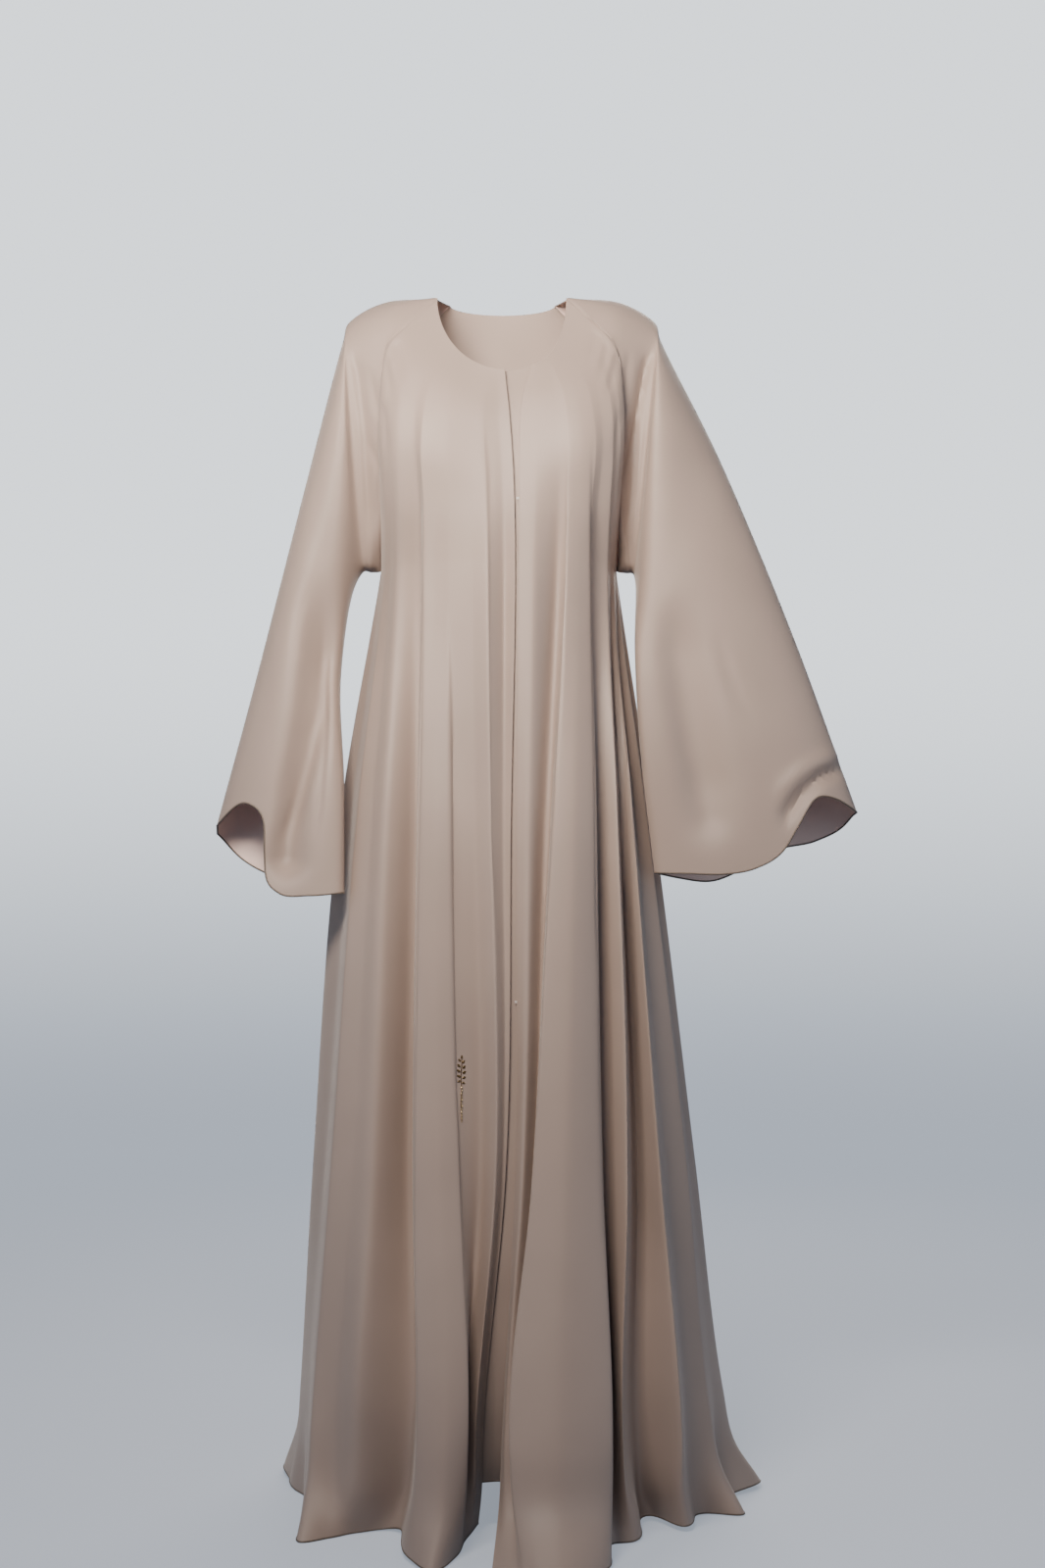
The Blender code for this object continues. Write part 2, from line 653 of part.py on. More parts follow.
def rim_faces(grid, closed, facing):
    """Triangles round the wall's open edges. Each strip is split from its higher inside
    corner to its lower outside one, so that two pieces' rims match along a seam."""
    rows = len(grid)
    columns = len(grid[0])
    count = rows * columns
    base = count - columns
    rims = []
    for column in range(columns if closed else columns - 1):
        after = (column + 1) % columns
        rims.append((column, after))
        rims.append((base + after, base + column))
    if not closed:
        for row in range(rows - 1):
            rims.append(((row + 1) * columns, row * columns))
            rims.append((row * columns + columns - 1, (row + 1) * columns + columns - 1))
    flat = [point for line in grid for point in line]
    faces = []
    for start, end in rims:
        quad = [end, start, count + start, count + end]
        high, low = (start, end) if flat[start].z > flat[end].z else (end, start)
        split = {high, count + low} if facing > 0 else {count + high, low}
        if split != {quad[0], quad[2]}:
            quad = quad[1:] + quad[:1]
        faces.append(quad[:3])
        faces.append([quad[0], quad[2], quad[3]])
    return faces


def wall_object(name, grid, normals, closed, material):
    """A closed wall of even thickness round a grid of middle points."""
    verts = []
    for side in (WALL / 2, -WALL / 2):
        for line, directions in zip(grid, normals):
            verts.extend(tuple(point + way * side) for point, way in zip(line, directions))
    mesh = bpy.data.meshes.new(name)
    faces = wall_faces(grid, closed) + rim_faces(grid, closed, FACING.get(name, 1))
    mesh.from_pydata(verts, [], faces)
    mesh.shade_smooth()
    mesh.set_sharp_from_angle(angle=SHARP_ANGLE)
    mesh.materials.append(material)
    piece = bpy.data.objects.new(name, mesh)
    bpy.context.collection.objects.link(piece)
    return piece


def build_cloth(material):
    """Fronts, back and sleeves; returns their middle surfaces and wall directions."""
    rows = panel_rows()
    armhole_rows = rows[: UPPER_ROWS + 1]
    grids = panel_grids(rows, STEPS_PER_FOLD)
    for side in ("left", "right"):
        grids["sleeve_" + side] = sleeve_grid(side, armhole_rows, SLEEVE_ROWS)
    normals = {name: grid_normals(grid, name.startswith("sleeve")) for name, grid in grids.items()}
    match_seams(grids, normals)
    open_seams(grids, normals)
    for name, grid in grids.items():
        wall_object(name, grid, normals[name], name.startswith("sleeve"), material)
    return grids, normals


def build_underlap(grids, normals, material):
    """Strip sewn behind the right front's edge and snapped to the left front."""
    rows = panel_rows()
    grid = []
    for index in range(rows.index(UNDERLAP_LAST_ROW) + 1):
        free = (rows[index] - UNDERLAP_FREE_FROM) / (UNDERLAP_FREE_BY - UNDERLAP_FREE_FROM)
        free = min(max(free, 0.0), 1.0)
        beside = grids["front_right"][index][0] + Vector((0, UNDERLAP_FREE_DEPTH, 0))
        line = []
        for front, column, behind in UNDERLAP_COLUMNS:
            inward = normals[front][index][column] * FACING[front]
            point = grids[front][index][column] + inward * behind
            if front == "front_left":
                beside.x += UNDERLAP_FREE_STEP
                point = point.lerp(beside, free)
            line.append(point)
        grid.append(line)
    wall_object("underlap", grid, grid_normals(grid, False), False, material)


def snap_seat(grid, height):
    """Place on the left front beside its edge at a height, and the way into the garment."""
    row = 0
    while grid[row + 1][0].z > height:
        row += 1
    upper, lower = grid[row], grid[row + 1]
    share = (upper[0].z - height) / (upper[0].z - lower[0].z)
    edge = upper[0].lerp(lower[0], share)
    across = (upper[1].lerp(lower[1], share) - edge).normalized()
    inward = across.cross(lower[0] - upper[0]).normalized()
    return edge + across * SNAP_IN_FROM_EDGE, inward


def build_snaps(grids, material):
    """Two closed press studs: sockets on the left front, studs on the underlap."""
    socket_depth = WALL / 2 + SNAP_CLEAR + SNAP_DISC / 2
    stud_depth = socket_depth + SNAP_DISC + SNAP_CLEAR
    for name, height in SNAP_HEIGHTS:
        seat, inward = snap_seat(grids["front_left"], height)
        for half, depth in (("socket", socket_depth), ("stud", stud_depth)):
            bpy.ops.mesh.primitive_cylinder_add(
                vertices=SNAP_SIDES, radius=SNAP_RADIUS, depth=SNAP_DISC,
                location=seat + inward * depth,
                rotation=inward.to_track_quat("Z", "Y").to_euler(),
            )
            disc = bpy.context.active_object
            disc.name = name + "_" + half
            disc.data.materials.append(material)


def make_material(name, colour, roughness, metallic):
    material = bpy.data.materials.new(name)
    material.use_nodes = True
    shader = material.node_tree.nodes["Principled BSDF"]
    shader.inputs["Base Color"].default_value = colour
    shader.inputs["Roughness"].default_value = roughness
    shader.inputs["Metallic"].default_value = metallic
    return material


def main():
    for item in list(bpy.data.objects):
        bpy.data.objects.remove(item)
    collection = bpy.data.collections.new("abaya_cloak")
    bpy.context.scene.collection.children.link(collection)
    layer = bpy.context.view_layer.layer_collection.children[collection.name]
    bpy.context.view_layer.active_layer_collection = layer
    crepe = make_material("satin_crepe", CREPE_COLOUR, 0.5, 0.0)
    grids, normals = build_cloth(crepe)
    build_underlap(grids, normals, crepe)
    build_snaps(grids, make_material("snap_metal", SNAP_COLOUR, 0.35, 0.8))


main()
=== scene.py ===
"""Looks of the open-front abaya cloak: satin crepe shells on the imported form, rolled hems,
seams, snaps and a small gold sprig, on a plain pale floor. Metres, +Z up, front towards -Y."""

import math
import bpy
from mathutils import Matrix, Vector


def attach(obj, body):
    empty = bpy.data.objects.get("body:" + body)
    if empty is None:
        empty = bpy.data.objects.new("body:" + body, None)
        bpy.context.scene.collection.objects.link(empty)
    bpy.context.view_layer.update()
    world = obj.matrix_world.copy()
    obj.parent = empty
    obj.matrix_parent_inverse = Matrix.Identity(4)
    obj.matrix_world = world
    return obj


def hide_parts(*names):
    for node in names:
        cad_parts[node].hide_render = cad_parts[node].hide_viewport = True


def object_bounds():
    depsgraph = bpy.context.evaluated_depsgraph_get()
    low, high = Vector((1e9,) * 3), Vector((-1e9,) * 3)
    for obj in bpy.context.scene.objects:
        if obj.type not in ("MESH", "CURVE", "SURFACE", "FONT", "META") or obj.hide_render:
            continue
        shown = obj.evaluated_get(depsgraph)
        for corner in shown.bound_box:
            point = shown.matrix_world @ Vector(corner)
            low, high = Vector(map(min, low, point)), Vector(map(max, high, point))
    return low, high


bl_info = {
    "name": "Abaya cloak looks",
    "version": (1, 0, 0),
    "blender": (4, 5, 0),
    "location": "3D View > Sidebar > Abaya",
    "description": "Dresses the packed abaya cloak in satin crepe with hems, seams and trim",
    "category": "Object",
}

from collections import namedtuple
from functools import lru_cache

import bpy
import numpy as np
from bpy.props import FloatProperty, FloatVectorProperty, PointerProperty
from mathutils import Matrix, Vector

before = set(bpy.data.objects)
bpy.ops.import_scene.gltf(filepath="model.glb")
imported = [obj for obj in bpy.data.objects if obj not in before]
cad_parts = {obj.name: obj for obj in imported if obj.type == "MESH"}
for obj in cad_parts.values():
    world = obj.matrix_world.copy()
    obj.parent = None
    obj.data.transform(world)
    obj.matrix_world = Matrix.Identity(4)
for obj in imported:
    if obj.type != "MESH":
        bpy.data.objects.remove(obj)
CAD_BOX = [list(corner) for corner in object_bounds()]

MM = 0.001
FLOOR_Z = CAD_BOX[0][2]

# Heights of the sections that the fold tables give
CHEST_Z = -330 * MM
HIP_Z = -620 * MM
KNEE_Z = -1050 * MM
ANKLE_Z = -1330 * MM
FOOT_Z = -1400 * MM
HEM_Z = -1450 * MM

# Height parameter of each level: 0 neckline, 1 underarm, HEM_ROW hem; one unit is about 33 cm
UNDERARM_ROW = 1.0
HIP_ROW = 1.9
KNEE_ROW = 3.2
ANKLE_ROW = 4.05
FOOT_ROW = 4.28
HEM_ROW = 4.45
UPPER_KNOTS = (0.0, 0.25, 0.5, 0.75)
LOWER_KNOTS = (UNDERARM_ROW, HIP_ROW, KNEE_ROW, ANKLE_ROW, FOOT_ROW, HEM_ROW)

SLEEVE_ROW_SPREAD = 1.15

# One fold line: plan place (x, y) in mm of a ridge or valley at four heights. Bow is how far
# the fold stands outside the straight line from chest to knee, at the hip. From the ankle
# the cloth goes this share of its way out to the hem by foot height, and the rest below it
FOOT_SHARE = 0.32
Fold = namedtuple("Fold", ("name", "chest", "bow", "knee", "ankle", "hem"))
FRONT_LEFT_FOLDS = (
    Fold("edge", (20, -124), 0, (16, -176), (2, -230), (-8, -312)),
    Fold("strip", (39, -125), 0, (25, -187), (6, -240), (4, -322)),
    Fold("valley_a", (67, -108), -2, (37, -172), (18, -242), (17, -331)),
    Fold("ridge_a", (76, -117), 2, (36, -199), (11, -268), (32, -346)),
    Fold("broad", (91, -110), 2, (74, -204), (64, -280), (66, -358)),
    Fold("ridge_b", (107, -98), 0, (116, -178), (124, -248), (116, -312)),
    Fold("valley_b", (114, -79), -3, (121, -134), (124, -176), (127, -214)),
    Fold("ridge_c", (127, -66), 2, (146, -157), (138, -206), (150, -196)),
    Fold("valley_c", (131, -48), -2, (160, -101), (156, -150), (174, -122)),
    Fold("ridge_d", (135, -37), 0, (185, -138), (206, -180), (214, -166)),
    Fold("valley_d", (137, -27), -2, (196, -94), (218, -112), (234, -96)),
    Fold("ridge_e", (138.5, -18), 2, (221, -58), (246, -78), (280, -98)),
    Fold("valley_e", (139.5, -9), 0, (226, -26), (254, -36), (276, -36)),
    Fold("side", (140, 0), 5, (236, 8), (270, 14), (314, 26)),
)
FRONT_RIGHT_FOLDS = (
    Fold("edge", (16.5, -124), 0, (5, -172), (-20, -188), (-26, -132)),
    Fold("strip", (3, -117), 0, (1, -174), (-23, -196), (-29, -146)),
    Fold("ridge_f", (-15, -132), 0, (-6, -188), (-28, -214), (-33, -166)),
    Fold("dip", (-34, -126), 0, (-24, -170), (-40, -202), (-40, -198)),
    Fold("ridge_h", (-62, -119), 0, (-46, -194), (-36, -254), (-48, -252)),
    Fold("broad", (-78, -114), 2, (-72, -200), (-60, -268), (-73, -306)),
    Fold("ridge_g", (-93, -112), 2, (-99, -190), (-92, -252), (-101, -268)),
    Fold("valley_g", (-98, -86), -4, (-104, -128), (-101, -174), (-126, -158)),
    Fold("crest_i", (-123, -78), 4, (-147, -158), (-162, -190), (-160, -164)),
    Fold("flank_i", (-134, -56), 4, (-173, -138), (-190, -160), (-190, -184)),
    Fold("ridge_j", (-141, -40), 7, (-199, -118), (-218, -146), (-228, -202)),
    Fold("valley_j", (-146, -20), 9, (-210, -64), (-228, -72), (-224, -92)),
    Fold("side", (-148, 0), 16, (-230, -4), (-246, 8), (-262, 40)),
)
BACK_FOLDS = (
    Fold("side_left", (140, 0), 5, (236, 8), (270, 14), (314, 26)),
    Fold("valley_k", (138, 26), 0, (223, 44), (252, 52), (276, 66)),
    Fold("ridge_k", (131, 52), 3, (226, 96), (256, 116), (288, 136)),
    Fold("valley_l", (118, 74), -2, (180, 108), (196, 128), (208, 146)),
    Fold("ridge_l", (98, 93), 3, (160, 172), (186, 214), (214, 262)),
    Fold("valley_m", (78, 104), -2, (108, 156), (118, 186), (126, 214)),
    Fold("ridge_m", (58, 111), 2, (82, 186), (92, 222), (98, 258)),
    Fold("valley_n", (30, 114), -2, (52, 164), (60, 190), (70, 212)),
    Fold("ridge_n", (-2, 117), 3, (4, 212), (2, 266), (4, 322)),
    Fold("valley_o", (-42, 114), -2, (-62, 168), (-70, 202), (-78, 232)),
    Fold("ridge_o", (-62, 110), 3, (-88, 190), (-98, 228), (-110, 272)),
    Fold("valley_p", (-88, 100), -2, (-118, 142), (-132, 160), (-142, 176)),
    Fold("ridge_p", (-114, 85), 4, (-172, 164), (-202, 202), (-230, 246)),
    Fold("valley_q", (-134, 62), 4, (-190, 112), (-216, 134), (-240, 162)),
    Fold("ridge_q", (-145, 34), 12, (-220, 78), (-246, 96), (-272, 116)),
    Fold("side_right", (-148, 0), 16, (-230, -4), (-246, 8), (-262, 40)),
)

# Softness of the turns at the ridges and at the other fold lines, 1 for round ones
RIDGE_SOFTNESS = 0.4
FOLD_SOFTNESS = 0.85
HEM_SOFTNESS = 1.15

# Raglan seams of the wearer's left side from neck to underarm, mm; the right ones mirror them
FRONT_RAGLAN = (
    (78, -45, -2), (113, -69, -40), (136, -77, -66), (146, -82, -130),
    (144, -77, -192), (141.5, -44, -272), (140, 0, -330),
)
BACK_RAGLAN = (
    (66, 48, 10), (101, 70, -24), (128, 84, -70), (141, 90, -130),
    (143, 80, -200), (141.5, 46, -276), (140, 0, -330),
)
RIGHT_UNDERARM_X = -148 * MM
RIGHT_UNDERARM_FADE = 3
# Front edges from neckline to underarm level, mm, and the middle of the back
LEFT_EDGE = ((35, -94, -94), (22, -112, -150), (21, -122, -230), (20, -124, -330))
RIGHT_EDGE = ((4, -97, -100), (10, -113, -160), (15, -122, -240), (16.5, -124, -330))
BACK_MIDDLE = ((0, 70, 2), (0, 98, -80), (0, 116, -180), (0, 118, -330))

# Powers that say how fast the round neckline gives way to the underarm section, across and
# deep, and how near the side seam the cloth starts to hang free of the armhole
ACROSS_FADE = 2.2
DEPTH_FADE = 1.5
FREE_HANG_FADE = 4

# Soft forms on each side that the panels hang over: place, radii and height
Form = namedtuple("Form", ("x", "z", "wide", "tall", "out"))
BUST = Form(82 * MM, -175 * MM, 55 * MM, 75 * MM, 13 * MM)
SHOULDER_BLADE = Form(75 * MM, -130 * MM, 60 * MM, 80 * MM, 8 * MM)

# Sleeve sections from armhole (share 0) to cuff (share 1): the under fold and the top line
# of each section, and how far its front and back stand off the line between them, mm
Section = namedtuple("Section", ("share", "under", "top", "front", "back"))
LEFT_SLEEVE_SECTIONS = (
    Section(0.10, (152, 0, -331), (138, 0, 0), 74, 74),
    Section(0.20, (161, -4, -333), (186, 0, -24), 56, 66),
    Section(0.28, (163, -16, -346), (193, 0, -46), 66, 62),
    Section(0.50, (160, -60, -432), (265, -6, -192), 42, 56),
    Section(0.75, (166, -72, -552), (354, -16, -410), 36, 50),
    Section(1.00, (183, -66, -698), (430, -28, -626), 34, 42),
)
RIGHT_SLEEVE_SECTIONS = (
    Section(0.10, (-160, 0, -330), (-138, 0, 0), 74, 74),
    Section(0.20, (-171, -4, -331), (-186, 0, -24), 60, 66),
    Section(0.28, (-180, -14, -350), (-193, 0, -46), 64, 62),
    Section(0.50, (-195, -34, -460), (-240, -6, -228), 48, 54),
    Section(0.75, (-188, -74, -590), (-300, -18, -466), 44, 48),
    Section(1.00, (-186, -92, -721), (-348, -30, -650), 38, 42),
)
# A section is fuller at the top line than at the under fold
SECTION_ROUNDNESS = 0.8
UNDER_FULLNESS = 0.45
MEAN_FULLNESS = 0.77
# The neckline between the front and back seams, on top of the sleeve, bows out and up
NECK_BOW_OUT = 6 * MM
NECK_BOW_UP = 2 * MM

# How far the cuff hangs below the straight line from its lowest corner to the wrist:
# share of the way to the wrist, and drop in mm
CuffPoint = namedtuple("CuffPoint", ("along", "drop"))
LEFT_CUFF_FRONT = (
    CuffPoint(0, 0), CuffPoint(0.15, 12), CuffPoint(0.3, 24), CuffPoint(0.45, 28), CuffPoint(0.6, 17),
    CuffPoint(0.7, -6), CuffPoint(0.83, -32), CuffPoint(0.92, -22), CuffPoint(1, 0),
)
LEFT_CUFF_BACK = (
    CuffPoint(0, 0), CuffPoint(0.1, 14), CuffPoint(0.25, 30), CuffPoint(0.4, 28), CuffPoint(0.6, 17),
    CuffPoint(0.8, 20), CuffPoint(0.95, 10), CuffPoint(1, 0),
)
RIGHT_CUFF_FRONT = (
    CuffPoint(0, 0), CuffPoint(0.2, 19), CuffPoint(0.4, 31), CuffPoint(0.52, 20), CuffPoint(0.6, -6),
    CuffPoint(0.68, -36), CuffPoint(0.8, -50), CuffPoint(0.92, -40), CuffPoint(1, -8),
)
RIGHT_CUFF_BACK = (
    CuffPoint(0, 0), CuffPoint(0.2, 10), CuffPoint(0.5, 20), CuffPoint(0.8, 16), CuffPoint(1, 0),
)
# Share of the sleeve's length, up from the cuff, over which that drop dies away
CUFF_ZONE = 0.45

# Large troughs in the sleeve fronts: points (x, z) in mm along each, depth and half width.
# Each fades in from its first point to its second
Trough = namedtuple("Trough", ("line", "deep", "wide"))
LEFT_SLEEVE_TROUGH = Trough(((196, -360), (214, -440), (228, -530), (246, -630)), 9 * MM, 26 * MM)
RIGHT_SLEEVE_TROUGH = Trough(
    ((-219, -330), (-220, -440), (-228, -520), (-244, -600), (-254, -680)), 22 * MM, 20 * MM
)

# The underlap follows the fronts' own points near their edges, from behind: the front, its
# place from the edge in half fold steps, and how far behind the strip lies
StripColumn = namedtuple("StripColumn", ("front", "halves", "behind"))
BEHIND_RIGHT = 2.3 * MM
BEHIND_SNAPS = 5.4 * MM
UNDERLAP_COLUMNS = (
    StripColumn("front_right", 2, BEHIND_RIGHT), StripColumn("front_right", 1, BEHIND_RIGHT),
    StripColumn("front_right", 0, BEHIND_SNAPS), StripColumn("front_left", 0, BEHIND_SNAPS),
    StripColumn("front_left", 1, BEHIND_SNAPS), StripColumn("front_left", 2, BEHIND_SNAPS),
)
# Below the lower snap the strip stops following the left front and hangs free, beside and
# behind the right front's edge, down to its own hem
UNDERLAP_FREE_FROM = 2.75
UNDERLAP_FREE_BY = 3.6
UNDERLAP_LAST_ROW = 4.26
UNDERLAP_FREE_STEP = 10 * MM
UNDERLAP_FREE_DEPTH = 7 * MM
UNDERLAP_STEPS = 6

# Overlocked thread on hems and cuffs, and the narrow rolled front edges, set in from the edge
HEM_THREAD_RADIUS = 1.15 * MM
EDGE_ROLL_RADIUS = 0.75 * MM
ROLL_INSET = 0.6 * MM
TUBE_SIDES = 8

# Press studs: half sizes and places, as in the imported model
SNAP_RADIUS = 3.5 * MM
SNAP_DISC = 0.8 * MM
SNAP_CLEAR = 0.6 * MM
SNAP_WALL = 2 * MM
SNAP_IN_FROM_EDGE = 3.6 * MM
SNAP_HEIGHTS = (("snap_upper", -257 * MM), ("snap_lower", -845 * MM))
# Tacking stitches over the front edge at each stud: their size, spacing and place
TACK_RADIUS = 0.35 * MM
TACK_LENGTH = 3.4 * MM
TACK_SPACING = 0.9 * MM
TACK_OUT = 1 * MM
TACK_BACK = 0.7 * MM

# Gold sprig on the right front: its middle line, top and size, then each leaf's place across
# and down in mm with its turn in degrees, and each bead's place and radius in mm
SPRIG_X = -45.5 * MM
SPRIG_TOP = -906 * MM
SPRIG_LENGTH = 76
Leaf = namedtuple("Leaf", ("across", "down", "turn", "long"))
Bead = namedtuple("Bead", ("across", "down", "radius"))
LEAVES = (
    Leaf(0.6, 1.5, 80, 4.2), Leaf(-2.2, 5, 125, 4.4), Leaf(2.6, 7, 50, 4.6), Leaf(-3.0, 11, 140, 5.0),
    Leaf(3.2, 13, 40, 5.0), Leaf(-3.4, 17, 150, 5.0), Leaf(3.4, 19, 30, 5.2), Leaf(-3.2, 23, 160, 5.0),
    Leaf(3.2, 25, 20, 4.8), Leaf(-2.6, 29, 200, 4.4), Leaf(2.6, 31, -20, 4.4),
)
BEADS = (
    Bead(0, 36, 1.3), Bead(0.5, 39.6, 1.0), Bead(-0.3, 43, 1.2), Bead(0.4, 46.4, 0.9),
    Bead(0, 50, 1.3), Bead(-0.4, 53.6, 1.0), Bead(0.4, 57, 1.2), Bead(0, 60.6, 0.9),
    Bead(-0.3, 64, 1.2), Bead(0.3, 67.6, 1.0), Bead(0, 71, 1.2), Bead(0.2, 74.4, 0.8),
)

# Points of the fine shells: rows above and below the underarm, and steps between fold lines
FINE_UPPER_ROWS = 56
FINE_LOWER_ROWS = 200
HEM_CROWDING = 1.25
FINE_STEPS = 10
FINE_NECK_STEPS = 8
FINE_SLEEVE_ROWS = 130

# A crease seen from the front or back: points (x, z) in mm along it from the top, half widths
# towards -X and +X, depth in mm (a ridge where negative), and the shares of its length over
# which it fades in and out. Unequal widths make one side of the crease a crisp fold edge
Crease = namedtuple("Crease", ("line", "minus", "plus", "deep", "starts", "ends"))
CREASES = {
    "front_left": (
        Crease((
            (75, -198), (72, -363), (68, -463), (63, -540), (56, -656), (47, -799), (39, -918),
        ), 12, 3, 3.2, 0.15, 0.4),
        Crease((
            (108, -172), (109, -297), (111, -463), (113, -569), (114, -742), (117, -819),
            (118, -958), (120, -1095), (123, -1146), (127, -1257),
        ), 3.5, 14, 4.6, 0.12, 0.35),
        Crease((
            (135, -250), (141, -392), (145, -568), (147, -742), (150, -819), (149, -1101),
            (146, -1190),
        ), 3, 9, 3.0, 0.3, 0.2),
        Crease(((127, -62), (122, -90), (112, -122)), 5, 5, 2.0, 0.1, 0.6),
        Crease(((138, -80), (132, -108), (123, -142)), 5, 5, 2.0, 0.1, 0.6),
        Crease(((116, -50), (108, -78), (100, -100)), 5, 5, 1.4, 0.1, 0.6),
        Crease(((141, -150), (136, -190), (134, -230)), 5, 5, 1.6, 0.1, 0.6),
    ),
    "front_right": (
        Crease((
            (-60, -363), (-58, -439), (-55, -569), (-53, -713), (-51, -819), (-48, -938),
            (-45, -988), (-41, -1076), (-34, -1212), (-27, -1323),
        ), 3, 15, 6.2, 0.25, 0.4),
        Crease((
            (-93, -202), (-96, -345), (-97, -463), (-98, -569), (-100, -713), (-101, -819),
            (-103, -1017), (-102, -1123), (-100, -1236), (-97, -1323),
        ), 15, 3.5, 5.0, 0.2, 0.35),
        Crease(((-20, -144), (-14, -227), (-12, -345), (-12, -463), (-9, -656), (-2, -771)),
               3, 6, 1.6, 0.2, 0.2),
        Crease(((-127, -62), (-121, -92), (-110, -126)), 5, 5, 2.0, 0.1, 0.6),
        Crease(((-139, -82), (-134, -112), (-126, -150)), 5, 5, 1.8, 0.1, 0.6),
        Crease(((-142, -140), (-137, -178), (-134, -216)), 5, 5, 1.5, 0.1, 0.6),
    ),
    "back": (
        Crease(((132, -80), (122, -130), (116, -190)), 8, 8, 2.0, 0.1, 0.6),
        Crease(((-134, -84), (-126, -128), (-112, -176)), 8, 8, 2.2, 0.1, 0.6),
        Crease(((60, -200), (64, -270), (58, -340)), 12, 12, 1.8, 0.5, 0.5),
        Crease(((-50, -180), (-58, -260), (-54, -350)), 13, 13, 1.8, 0.5, 0.5),
    ),
    "sleeve_left": (
        Crease(((139, -327), (147, -296), (157, -261)), 5, 5, 1.8, 0.1, 0.5),
        Crease((
            (182, -56), (173, -102), (165, -150), (162, -196), (160, -233), (157, -271), (156, -331),
        ), 12, 3, 6.0, 0.15, 0.1),
        Crease(((177, -68), (172, -106), (165, -150), (157, -188), (144, -226), (140, -241)),
               4, 6, 2.6, 0.1, 0.3),
        Crease(((154, -68), (150, -102), (146, -140), (143, -169)), 4, 5, 2.0, 0.2, 0.4),
        Crease(((209, -330), (212, -445), (225, -523), (244, -606), (257, -645)), 20, 34, 6.5, 0.55, 0.2),
        Crease(((252, -400), (274, -465), (290, -500), (311, -537)), 12, 9, 2.4, 0.4, 0.5),
        Crease(((418, -567), (404, -575), (383, -583), (358, -606), (342, -627), (337, -648)),
               9, 7, 8.0, 0.2, 0.2),
        Crease(((412, -553), (386, -562), (358, -576), (336, -597), (322, -625)), 9, 9, -4, 0.2, 0.4),
    ),
    "sleeve_right": (
        Crease((
            (-211, -369), (-213, -430), (-216, -489), (-228, -554), (-250, -636), (-266, -681),
        ), 7, 10, 5.5, 0.3, 0.2),
        Crease(((-211, -460), (-212, -554), (-216, -618), (-223, -673)), 6, 6, 4.0, 0.3, 0.3),
        Crease(((-182, -60), (-174, -106), (-167, -160), (-164, -230), (-162, -300)),
               3, 10, 4.0, 0.2, 0.2),
        Crease(((-148, -150), (-154, -120), (-161, -88)), 5, 5, 2.0, 0.1, 0.5),
        Crease(((-144, -222), (-154, -196), (-166, -170)), 5, 5, 2.0, 0.1, 0.5),
    ),
}

# Small waves of the body's hem: where they begin, how far they go out and in, and how far
# the hem lifts off the floor between them. Waves are counted once round the body
RIPPLES_FROM = -1330 * MM
RIPPLE_OUT = 6 * MM
RIPPLE_LIFT = 6 * MM
LONG_RIPPLES = 13
SHORT_RIPPLES = 22
LIFTS = 9

# The cloth dips at a seam, by this much over this width
SEAM_DIP = 1.1 * MM
SEAM_DIP_WIDTH = 2.6 * MM

SEWN_EDGES = {
    "front_left": ("end",), "front_right": ("start",), "back": ("start", "end"),
    "sleeve_left": ("top",), "sleeve_right": ("top",), "underlap": (),
}

# Colours of the metals and of the tacking thread
NICKEL_COLOUR = (0.66, 0.64, 0.60)
# Dark gold of the sprig's leaves and stem, darkened further with painted shade from the fold it sits
# beside
SHADED_GOLD_COLOUR = (0.17, 0.11, 0.05)
BRIGHT_GOLD_COLOUR = (0.80, 0.62, 0.36)
TACK_COLOUR = (0.72, 0.70, 0.68)

# The soft square lights: power is the stage value that drives each one (metres)
Light = namedtuple("Light", "name place aim size colour power")
WARM = (1.0, 0.90, 0.80)
COOL = (0.80, 0.91, 1.0)
LIGHTS = (
    Light("key_light", (-0.28, -1.15, 0.22), (0, 0, 0.3), 0.5, WARM, "key_power"),
    Light("side_light_left", (-1.9, -0.7, -0.3), (0, 0, -0.4), 1.2, COOL, "side_power"),
    Light("side_light_right", (1.9, -0.7, -0.3), (0, 0, -0.4), 1.2, COOL, "side_power"),
    Light("back_light", (0.5, 2.5, 0.5), (0, 0, -0.5), 2.0, WARM, "back_power"),
)
# The camera: sideways place and height (metres), turn about X (degrees), lens and sensor (mm)
CAMERA_X = 0.025
CAMERA_Z = -0.65
CAMERA_TURN = 91.2269
CAMERA_LENS = 52.5
CAMERA_SENSOR = 36
CAMERA_REACH = 60

# The pale floor's radius and colour, and its glow as it lights the cloth and as it is seen.
# It fades out between two distances from the garment
FLOOR_RADIUS = 12
FLOOR_COLOUR = (0.34, 0.36, 0.40, 1)
FLOOR_GLOW = (0.07, 0.08, 0.10, 1)
FLOOR_SEEN = (0.30, 0.335, 0.39, 1)
FLOOR_FADES_FROM = 0.7
FLOOR_FADES_BY = 3.2
# The surroundings as they light the cloth, and as they are seen low down and high up
ROUND_COLOUR = (0.54, 0.70, 1.0, 1)
ROUND_STRENGTH = 0.17
ROUND_SEEN_LOW = (0.50, 0.56, 0.66, 1)
ROUND_SEEN_HIGH = (1.48, 1.58, 1.68, 1)


def vector_mm(values):
    return Vector(values) * MM


